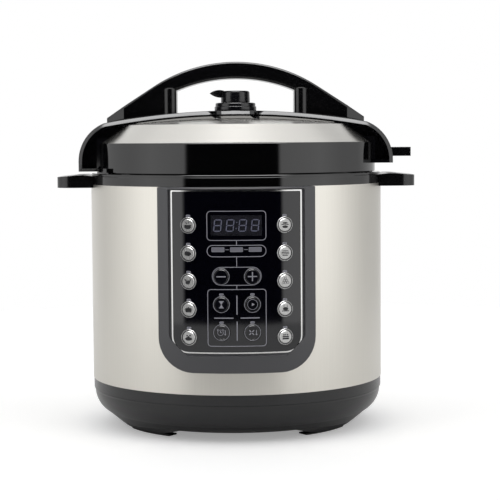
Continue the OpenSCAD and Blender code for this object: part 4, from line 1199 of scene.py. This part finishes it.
def pillow(
    piece: bpy.types.Object, half: float, strokes: Sequence[tuple[float, float]]
) -> None:
    """Rolls the front and back edges of a slab inwards, stroke by stroke.

    Args:
        piece: a slab of which the front and the back are one face each.
        half: distance of those faces from Y = 0, in millimetres; they move outwards.
        strokes: how far each stroke goes inwards and outwards, in millimetres.
    """
    for side in (-1, 1):
        pick(piece, lambda p: abs(p.y / MM - side * half) < 0.01, "FACE")
        for inwards, outwards in strokes:
            bpy.ops.mesh.inset(thickness=inwards * MM, depth=outwards * MM)
        bpy.ops.object.mode_set(mode="OBJECT")


def cut_across(piece: bpy.types.Object, places: Sequence[float]) -> None:
    """Cuts edges right across a piece at places along X, in millimetres, and keeps all.

    Args:
        piece: the piece.
        places: where the edges go.
    """
    only(piece)
    bpy.ops.object.mode_set(mode="EDIT")
    for place in places:
        bpy.ops.mesh.select_all(action="SELECT")
        bpy.ops.mesh.bisect(plane_co=(place * MM, 0, 0), plane_no=(1, 0, 0))
    bpy.ops.object.mode_set(mode="OBJECT")


def taper(piece: bpy.types.Object, places: Sequence[tuple[float, float]]) -> None:
    """Narrows a piece front to back towards its ends.

    Args:
        piece: the piece, with points wherever its depth is to change.
        places: distances from X = 0 in millimetres, rising, each with its share of the
            depth there; between two places the share changes evenly.
    """
    reach = sorted({round(abs(point.co.x) / MM, 2) for point in piece.data.vertices})
    for x in reach:
        for (x0, share0), (x1, share1) in zip(places, places[1:]):
            if x0 <= x <= x1:
                share = share0 + (share1 - share0) * (x - x0) / (x1 - x0)
                break
        else:
            continue
        if share == 1.0:
            continue
        pick(piece, lambda p: abs(abs(p.x) / MM - x) < 0.006)
        bpy.ops.transform.resize(value=(1.0, share, 1.0), center_override=(0, 0, 0))
    bpy.ops.object.mode_set(mode="OBJECT")


def carve(piece: bpy.types.Object, tool: bpy.types.Object, how: str = "DIFFERENCE") -> None:
    """Cuts a piece with another, or joins or trims it, and throws the tool away.

    Args:
        piece: what is cut.
        tool: the closed cutter.
        how: the boolean's kind.
    """
    modify(piece, "BOOLEAN", object=tool, operation=how, solver="EXACT")
    only(tool)
    bpy.ops.object.delete()


def smooth(piece: bpy.types.Object, angle: float = 30.0) -> None:
    """Shades a piece smoothly up to an angle between faces, in degrees."""
    only(piece)
    bpy.ops.object.shade_smooth_by_angle(angle=math.radians(angle))


# ---------------------------------------------------------------- strap and handle


@dataclass
class Crossbar:
    """The lid's arched strap and the handle on it, with every edge softened.

    Places and radii are in millimetres. arch_r and its centre carry the strap's top,
    shoulder_r its bends over the rim of the lid, and arm_x is its reach.
    """

    top: float = 309.4
    arch_r: float = 711.0
    arm_x: float = 153.0
    shoulder_r: float = 39.8
    bend_x: float = 127.8
    left_low: float = 251.0
    right_low: float = 257.7
    half_w: float = 40.0
    arm_half_w: float = 44.0
    rim: float = 3.8
    groove: float = 1.5
    band_x: float = 110.0
    skirt_r: float = 138.5
    skirt_top: float = 278.4
    slope_r: float = 137.0
    crown_r: float = 113.0
    crown_edge: float = 295.7
    crown_top: float = 302.0
    handle_top: float = 357.5
    handle_r: float = 148.0
    handle_slope: float = 33.0
    handle_t: float = 16.4
    under_r: float = 150.0
    post_x: float = 58.0
    end_x: float = 127.6
    post_r: float = 6.6
    clasp_t: float = 2.5
    clasp_angle: float = 26.0
    clasp_low: float = 255.0
    wall_x: float = 118.0
    root_z: float = 285.0
    waist: tuple[float, float] = (92.0, 117.0)
    web: float = 8.5
    tool_y: float = 60.0
    handle_half_w: float = 16.6
    foot_x: float = 94.0
    post_y: float = 15.0
    post_h: float = 26.0
    sink: float = 4.5
    pad_stand: float = 2.0
    pad_h: float = 14.0
    pad_half_w: float = 13.2
    pad_edge: float = 0.8
    slim_x: float = 28.0
    full_x: float = 58.0
    thin_x: float = 110.0
    slim_share: float = 0.9
    end_share: float = 0.37
    rim_roll: tuple[tuple[float, float], ...] = (
        (0.25, 0.5), (0.3, 0.4), (2.9, 2.1), (0.35, 0.1),
    )

    def arch_z(self, x: float, inset: float = 0.0) -> float:
        """Gives the height of the strap's arch, or of a line inset below it."""
        return self.top - self.arch_r + math.sqrt((self.arch_r - inset) ** 2 - x * x)

    def shoulder(self) -> tuple[float, float, float]:
        """Gives the shoulder's centre and the angle that it bends through, in degrees.

        Returns:
            The centre's place across, its height, and the angle.
        """
        centre_x = self.arm_x - self.shoulder_r
        lean = math.acos((self.bend_x - centre_x) / self.shoulder_r)
        centre_z = self.arch_z(self.bend_x) - self.shoulder_r * math.sin(lean)
        return centre_x, centre_z, math.degrees(lean)

    def lid_former(self) -> bpy.types.Object:
        """Turns a former of the lid's outside, which hollows the strap's underside.

        Returns:
            The closed former.
        """
        clear = 0.25
        outline = Outline(0, 230).line(self.skirt_r + clear, 230)
        outline.line(self.skirt_r + clear, self.skirt_top + clear)
        outline.line(self.slope_r + clear, self.skirt_top + clear + 0.2)
        outline.line(self.crown_r, self.crown_edge + clear)
        rise = self.crown_top - self.crown_edge
        crown_arc = (self.crown_r**2 + rise**2) / (2 * rise)
        sweep = math.degrees(math.asin(self.crown_r / crown_arc))
        outline.arc(0, self.crown_top + clear - crown_arc, sweep, 16)
        return outline.turned("lid_former")

    def recess(self, front: float, back: float) -> bpy.types.Object:
        """Makes the cutter that sinks the strap's face behind its rim.

        Args:
            front: where the cutter starts along Y, in millimetres.
            back: where it ends.

        Returns:
            The closed cutter.
        """
        cx, cz, lean = self.shoulder()
        edge, inner, low = self.arm_x - self.rim, self.skirt_r - 3.5, self.skirt_top + 5.2
        band = math.degrees(math.asin(self.band_x / (self.arch_r - self.rim - self.groove)))
        centre = self.top - self.arch_r
        outline = Outline(self.band_x, low).line(inner, low).line(inner, self.right_low + 3)
        outline.line(edge, self.right_low + 3).line(edge, cz)
        outline.arc(cx, cz, lean, 12)
        swing = math.degrees(math.atan2(outline.x, outline.z - centre))
        outline.arc(0, centre, 2 * swing, 48).arc(-cx, cz, lean, 12)
        outline.line(-edge, self.left_low + 3).line(-inner, self.left_low + 3)
        outline.line(-inner, low).line(-self.band_x, low)
        outline.line(-self.band_x, self.arch_z(self.band_x, self.rim + self.groove))
        outline.arc(0, centre, -2 * band, 44)
        return outline.slab("strap_recess", front, back)

    def arm_pad(self) -> bpy.types.Object:
        """Makes the small rounded pad that stands out from the left arm's end.

        Returns:
            The closed pad.
        """
        reach, root = self.arm_x + self.pad_stand, self.pad_stand - self.arm_x
        top, edge, half = self.left_low + self.pad_h, self.pad_edge, self.pad_half_w
        outline = Outline(-reach, self.left_low).line(root, self.left_low).line(root, top)
        outline.line(edge - reach, top).line(-reach, top - edge)
        pad = outline.slab("arm_pad", -half, half)
        pillow(pad, half, quarter(edge, 2))
        return pad

    def arm_clasp(self) -> bpy.types.Object:
        """Turns the plate inside the left arm that follows the skirt.

        Returns:
            The closed plate.
        """
        inner, outer = self.skirt_r - 0.9, self.skirt_r + self.clasp_t
        outline = Outline(inner, self.clasp_low).line(outer, self.clasp_low)
        outline.line(outer, self.skirt_top + 5).line(inner, self.skirt_top + 5)
        clasp = outline.turned("arm_clasp", 13, self.clasp_angle)
        settle(clasp, rotation_euler=(0, 0, math.radians(180 + self.clasp_angle / 2)))
        return clasp

    def strap(self) -> bpy.types.Object:
        """Presses the strap: a sloped rim all round its edge and a sunk face behind it.

        Returns:
            The strap.
        """
        cx, cz, lean = self.shoulder()
        swing = math.degrees(math.asin(self.bend_x / self.arch_r))
        under_x = self.crown_r - 20
        under = math.degrees(math.asin(under_x / (self.arch_r - self.web)))
        centre = self.top - self.arch_r
        outline = Outline(-self.arm_x, self.left_low).line(-self.arm_x, cz)
        outline.arc(-cx, cz, -lean, 14).arc(0, centre, -2 * swing, 56).arc(cx, cz, -lean, 14)
        outline.line(self.arm_x, self.left_low).line(self.wall_x, self.left_low)
        outline.line(self.wall_x, self.root_z).line(under_x, self.arch_z(under_x, self.web))
        outline.arc(0, centre, 2 * under, 40)
        outline.line(-self.wall_x, self.root_z).line(-self.wall_x, self.left_low)
        roll = sum(outwards for _, outwards in self.rim_roll)
        piece = outline.slab("strap_shell", roll - self.arm_half_w, self.arm_half_w - roll)
        pillow(piece, self.arm_half_w - roll, self.rim_roll)
        narrow, wide = self.waist
        cut_across(piece, (-wide, -narrow, narrow, wide))
        share = self.half_w / self.arm_half_w
        taper(piece, ((0, share), (narrow, share), (wide, 1)))
        floor = self.half_w - self.sink
        carve(piece, self.recess(-self.tool_y, -floor))
        carve(piece, self.recess(floor, self.tool_y))
        inside, outside, below = 100, 170, 240
        shorter = Outline(inside, below).line(outside, below).line(outside, self.right_low)
        shorter.line(inside, self.right_low)
        carve(piece, shorter.slab("right_arm_trimmer", -self.tool_y, self.tool_y))
        carve(piece, self.arm_pad(), "UNION")
        carve(piece, self.arm_clasp(), "UNION")
        carve(piece, self.lid_former())
        smooth(piece)
        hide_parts("lid_strap")
        return dressed(piece, STRAP_BLACK, "lid")

    def post_column(self, side: int) -> bpy.types.Object:
        """Stands a half-round column in front of a handle post.

        Args:
            side: -1 for the left post, 1 for the right.

        Returns:
            The closed column.
        """
        nothing_selected()
        low, height = self.arch_z(self.post_x + self.post_r) - 1.2, self.post_h
        x, z = side * (self.post_x + self.post_r - 0.1) * MM, (low + height / 2) * MM
        bpy.ops.mesh.primitive_cylinder_add(
            vertices=48,
            radius=self.post_r * MM,
            depth=height * MM,
            location=(x, -self.post_y * MM, z),
        )
        column = bpy.context.object
        column.name = column.data.name = "post_column"
        settle(column)
        pick(column, lambda p: p.z / MM > low + height - 0.1, "FACE")
        bpy.ops.mesh.inset(thickness=1.2 * MM, depth=0.8 * MM)
        bpy.ops.object.mode_set(mode="OBJECT")
        return column

    def handle(self) -> bpy.types.Object:
        """Moulds the arched handle with its tapered ends and softened edges.

        Returns:
            The handle.
        """
        low = self.handle_top - self.handle_r
        slope = math.radians(self.handle_slope)
        turn_x, turn_z = self.handle_r * math.sin(slope), low + self.handle_r * math.cos(slope)
        end_z = turn_z - (self.end_x - turn_x) * math.tan(slope)
        under_low = self.handle_top - self.handle_t - self.under_r
        opening = math.degrees(math.asin(self.post_x / self.under_r))
        foot = -0.1
        outline = Outline(-self.end_x, self.arch_z(self.end_x, foot)).line(-self.end_x, end_z)
        outline.line(-turn_x, turn_z).arc(0, low, -2 * self.handle_slope, 40)
        outline.line(self.end_x, end_z).line(self.end_x, self.arch_z(self.end_x, foot))
        outline.line(self.foot_x, self.arch_z(self.foot_x, foot))
        outline.line(self.post_x, self.arch_z(self.post_x, foot))
        outline.line(self.post_x, under_low + math.sqrt(self.under_r**2 - self.post_x**2))
        outline.arc(0, under_low, 2 * opening, 28)
        outline.line(-self.post_x, self.arch_z(self.post_x, foot))
        outline.line(-self.foot_x, self.arch_z(self.foot_x, foot))
        half = self.handle_half_w
        piece = outline.slab("handle_moulding", -half, half)
        pillow(piece, half, quarter(2.4))
        cut_across(piece, (-self.thin_x, -self.slim_x, self.slim_x, self.thin_x))
        middle = ((0, self.slim_share), (self.slim_x, self.slim_share), (self.full_x, 1))
        taper(piece, middle + ((self.thin_x, 1), (self.end_x, self.end_share)))
        for side in (-1, 1):
            carve(piece, self.post_column(side), "UNION")
        smooth(piece)
        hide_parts("arch_handle")
        return dressed(piece, SATIN_BLACK, "lid")

    def build(self) -> None:
        """Builds the strap and the handle."""
        self.strap()
        self.handle()


@dataclass
class SteamValve:
    """The steam valve's stepped base and its knob with the leaf-shaped lever.

    Places are in millimetres and angles in degrees.
    """

    stem_r: float = 5.1
    base_low: float = 309.5
    base_top: float = 317.5
    base_r: float = 20.8
    knob_low: float = 317.9
    knob_top: float = 329.3
    knob_r: float = 14.5
    lever_reach: float = 25.6
    lever_half_w: float = 5.2
    lever_root: float = 9.0
    lever_full: float = 14.0
    tip_share: float = 0.35

    def base(self) -> bpy.types.Object:
        """Turns the base: a rounded disc with a narrower step on it.

        Returns:
            The base.
        """
        step, upper_r = self.base_low + 4.4, self.base_r - 0.9
        outline = Outline(self.stem_r, self.base_low).line(self.base_r - 0.7, self.base_low)
        outline.bow(self.base_r, self.base_low + 0.7, 0.2, 3).line(self.base_r, step - 0.7)
        outline.bow(self.base_r - 0.7, step, 0.2, 3).line(upper_r, step)
        outline.line(upper_r, self.base_top - 1.4)
        outline.bow(upper_r - 1.4, self.base_top, 0.4, 5).line(self.stem_r, self.base_top)
        piece = outline.turned("valve_seat", 96)
        smooth(piece)
        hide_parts("valve_base")
        return dressed(piece, VALVE_GREY, "lid")

    def lever(self) -> bpy.types.Object:
        """Moulds the lever, a leaf from the front with its tip on the left.

        Returns:
            The closed lever.
        """
        tip_z = self.knob_top - 2.3
        outline = Outline(-self.lever_root, self.knob_top - 0.7)
        outline.bow(-self.lever_reach, tip_z, 2.4, 12)
        outline.bow(-self.lever_root, self.knob_top - 5.9, 2.2, 12)
        half = self.lever_half_w - 1.2
        piece = outline.slab("valve_lever", -half, half)
        pillow(piece, half, quarter(1.2, 3))
        cut_across(piece, (-self.lever_full,))
        taper(piece, ((0, 1), (self.lever_full, 1), (self.lever_reach, self.tip_share)))
        return piece

    def knob(self) -> bpy.types.Object:
        """Turns the knob and joins the lever to it.

        Returns:
            The knob.
        """
        roof = self.knob_top - 3.4
        outline = Outline(self.stem_r, self.knob_low).line(self.knob_r - 0.5, self.knob_low)
        outline.bow(self.knob_r, self.knob_low + 0.5, 0.15, 3)
        outline.line(self.knob_r - 0.4, self.knob_top - 2.0)
        outline.bow(self.knob_r - 2.4, self.knob_top, 0.6, 6).line(0, self.knob_top)
        outline.line(0, roof).line(self.stem_r, roof)
        piece = outline.turned("valve_cap", 96)
        carve(piece, self.lever(), "UNION")
        smooth(piece)
        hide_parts("valve_knob")
        return dressed(piece, VALVE_GREY, "steam_knob")

    def build(self) -> None:
        """Builds the valve's base and knob."""
        self.base()
        self.knob()


@dataclass
class SensorSpring:
    """The coil under the temperature sensor, which shortens as the sensor is pressed.

    Sizes are in millimetres; low and high are the heights of the wire's middle.
    """

    coil_r: float = 10.0
    wire_r: float = 0.7
    low: float = 88.7
    high: float = 102.5
    turns: int = 4
    travel: float = 2.0

    def build(self) -> bpy.types.Object:
        """Winds the spring and closes the wire's ends.

        Returns:
            The spring.
        """
        nothing_selected()
        bpy.ops.mesh.primitive_circle_add(
            vertices=12,
            radius=self.wire_r * MM,
            location=(self.coil_r * MM, 0, self.low * MM),
            rotation=UPRIGHT,
        )
        coil = bpy.context.object
        coil.name = coil.data.name = "sensor_coil"
        settle(coil)
        modify(
            coil,
            "SCREW",
            angle=2 * math.pi * self.turns,
            screw_offset=(self.high - self.low) * MM,
            steps=36 * self.turns,
            render_steps=36 * self.turns,
            axis="Z",
        )
        pick(coil, lambda p: True)
        bpy.ops.mesh.fill_holes(sides=12)
        bpy.ops.mesh.normals_make_consistent(inside=False)
        bpy.ops.object.mode_set(mode="OBJECT")
        smooth(coil)
        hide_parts("sensor_spring")
        dressed(coil, SPRING_WIRE, "cooker_body")
        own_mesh(coil)
        return coil


# ---------------------------------------------------------------- studio


@dataclass
class Studio:
    """Camera, pale floor and the light round the cooker.

    Angles are in degrees. The dark gap is where the camera stands between two large
    white screens. The panel overhead is several times as bright as the screens, and
    only glossy rays see it: it brightens metal and glossy skins and nothing else.
    """

    distance: float = 1600.0
    eye_height: float = 283.5
    pitch: float = 4.04
    yaw: float = 0.483
    roll: float = 0.4
    lens_px: float = 1600.0
    gap_left: float = 41.0
    gap_right: float = 35.0
    screen: float = 1.25
    panel_height: float = 70.0
    panel_spread: float = 27.0
    panel_light: float = 9.0
    floor_radius: float = 1100.0

    def camera(self) -> bpy.types.Object:
        """Stands the camera in front of the panel, a little above the lid's rim.

        Returns:
            The camera.
        """
        data = bpy.data.cameras.new("studio_camera")
        data.sensor_width = 36.0
        data.lens = self.lens_px * data.sensor_width / IMAGE_SIDE
        camera = bpy.data.objects.new("studio_camera", data)
        bpy.context.scene.collection.objects.link(camera)
        turn = (
            Matrix.Rotation(math.radians(-self.yaw), 4, "Z")
            @ Matrix.Rotation(math.radians(90 - self.pitch), 4, "X")
            @ Matrix.Rotation(math.radians(-self.roll), 4, "Z")
        )
        eye = (0, -self.distance * MM, self.eye_height * MM)
        camera.matrix_world = Matrix.Translation(eye) @ turn
        data.clip_start, data.clip_end = 0.05, 50.0
        bpy.context.scene.camera = camera
        return camera

    def floor(self) -> bpy.types.Object:
        """Lays a pale floor that keeps the cooker's shadow and is white to the camera.

        Returns:
            The floor.
        """
        nothing_selected()
        bpy.ops.mesh.primitive_circle_add(
            vertices=96, radius=self.floor_radius * MM, fill_type="NGON"
        )
        floor = bpy.context.object
        floor.name = "studio_floor"
        material = bpy.data.materials.new("pale_studio_floor")
        material.use_nodes = True
        tree = material.node_tree
        shader = tree.nodes["Principled BSDF"]
        shader.inputs["Base Color"].default_value = hex_to_linear("#f2f2f2")
        shader.inputs["Roughness"].default_value = 0.9
        shader.inputs["Specular IOR Level"].default_value = 0.0
        shader.inputs["Emission Color"].default_value = (1.0, 1.0, 1.0, 1.0)
        rays = add_node(tree, "ShaderNodeLightPath")
        camera_ray = {0: rays.outputs["Is Camera Ray"]}
        seen = add_node(tree, "ShaderNodeMath", {1: 0.3}, camera_ray, operation="MULTIPLY")
        tree.links.new(seen.outputs["Value"], shader.inputs["Emission Strength"])
        floor.data.materials.append(material)
        return floor

    def world(self) -> None:
        """Surrounds the cooker with white; glossy skins see screens, gap and panel instead."""
        world = bpy.data.worlds.new("studio_world")
        bpy.context.scene.world = world
        world.use_nodes = True
        tree = world.node_tree
        tree.nodes.clear()
        ray = add_node(tree, "ShaderNodeTexCoord").outputs["Generated"]
        axes = add_node(tree, "ShaderNodeSeparateXYZ", {}, {"Vector": ray})
        forwards = {0: axes.outputs["Y"]}
        back = add_node(tree, "ShaderNodeMath", {1: -1.0}, forwards, operation="MULTIPLY")
        sides = {0: axes.outputs["X"], 1: back.outputs["Value"]}
        angle = add_node(tree, "ShaderNodeMath", {}, sides, operation="ARCTAN2")
        circle = {"From Min": -math.pi, "From Max": math.pi}
        share = add_node(tree, "ShaderNodeMapRange", circle, {"Value": angle.outputs["Value"]})
        ramp = add_node(tree, "ShaderNodeValToRGB", {}, {"Fac": share.outputs["Result"]})
        stops = [
            (-180, 0.9), (-150, 0.66), (-125, 0.52), (-95, 0.76), (-72, 1.1),
            (-self.gap_left - 1, 1.0), (-self.gap_left + 1, 0.0), (self.gap_right - 1, 0.0),
            (self.gap_right + 1, 1.0), (72, 1.1), (95, 0.72), (118, 0.48), (150, 0.5),
            (180, 0.9),
        ]
        elements = ramp.color_ramp.elements
        while len(elements) < len(stops):
            elements.new(0.5)
        for element, (degrees, value) in zip(elements, stops):
            element.position = degrees / 360 + 0.5
            element.color = (value, value, value, 1.0)
        height = add_node(
            tree,
            "ShaderNodeMapRange",
            {"From Min": 0.62, "From Max": 0.8},
            {"Value": axes.outputs["Z"]},
            interpolation_type="SMOOTHSTEP",
        )
        walls = {0: height.outputs["Result"], 6: ramp.outputs["Color"]}
        ceiling = {7: (0.8, 0.8, 0.8, 1.0)}
        room = add_node(tree, "ShaderNodeMix", ceiling, walls, data_type="RGBA")
        rays = add_node(tree, "ShaderNodeLightPath")
        aim = math.radians(self.panel_height)
        panel_way = {1: (0.0, -math.cos(aim), math.sin(aim))}
        facing = add_node(
            tree, "ShaderNodeVectorMath", panel_way, {0: ray}, operation="DOT_PRODUCT"
        )
        edge = math.cos(math.radians(self.panel_spread))
        panel = add_node(
            tree,
            "ShaderNodeMapRange",
            {"From Min": edge - 0.05, "From Max": edge + 0.05, "To Max": self.panel_light},
            {"Value": facing.outputs["Value"]},
            interpolation_type="SMOOTHSTEP",
        )
        glossy = {0: panel.outputs["Result"], 1: rays.outputs["Is Glossy Ray"]}
        mirrored = add_node(tree, "ShaderNodeMath", {}, glossy, operation="MULTIPLY")
        extra = {0: mirrored.outputs["Value"]}
        strength = add_node(tree, "ShaderNodeMath", {1: self.screen}, extra, operation="ADD")
        light = {"Color": room.outputs[2], "Strength": strength.outputs["Value"]}
        studio = add_node(tree, "ShaderNodeBackground", {}, light)
        plain = add_node(
            tree, "ShaderNodeBackground", {"Color": (1.0, 1.0, 1.0, 1.0), "Strength": 1.0}
        )
        direct = {0: rays.outputs["Is Camera Ray"], 1: rays.outputs["Is Transmission Ray"]}
        seen = add_node(tree, "ShaderNodeMath", {}, direct, operation="MAXIMUM")
        both = {0: seen.outputs["Value"], 1: studio.outputs[0], 2: plain.outputs[0]}
        mixed = add_node(tree, "ShaderNodeMixShader", {}, both)
        add_node(tree, "ShaderNodeOutputWorld", {}, {"Surface": mixed.outputs[0]})

    def build(self) -> None:
        """Sets up the studio and the plain view transform."""
        bpy.context.scene.view_settings.view_transform = "Standard"
        self.camera()
        self.floor()
        self.world()


# ---------------------------------------------------------------- putting it together


def main() -> None:
    """Dresses the cooker and builds its added pieces."""
    logging.basicConfig(level=logging.INFO, format="%(name)s: %(message)s")
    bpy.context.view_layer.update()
    Studio().build()
    dress_solids()
    PanelFrame().build()
    Console().build()
    Crossbar().build()
    SteamValve().build()
    SensorSpring().build()
    nothing_selected()


if __name__ == "__main__":
    main()
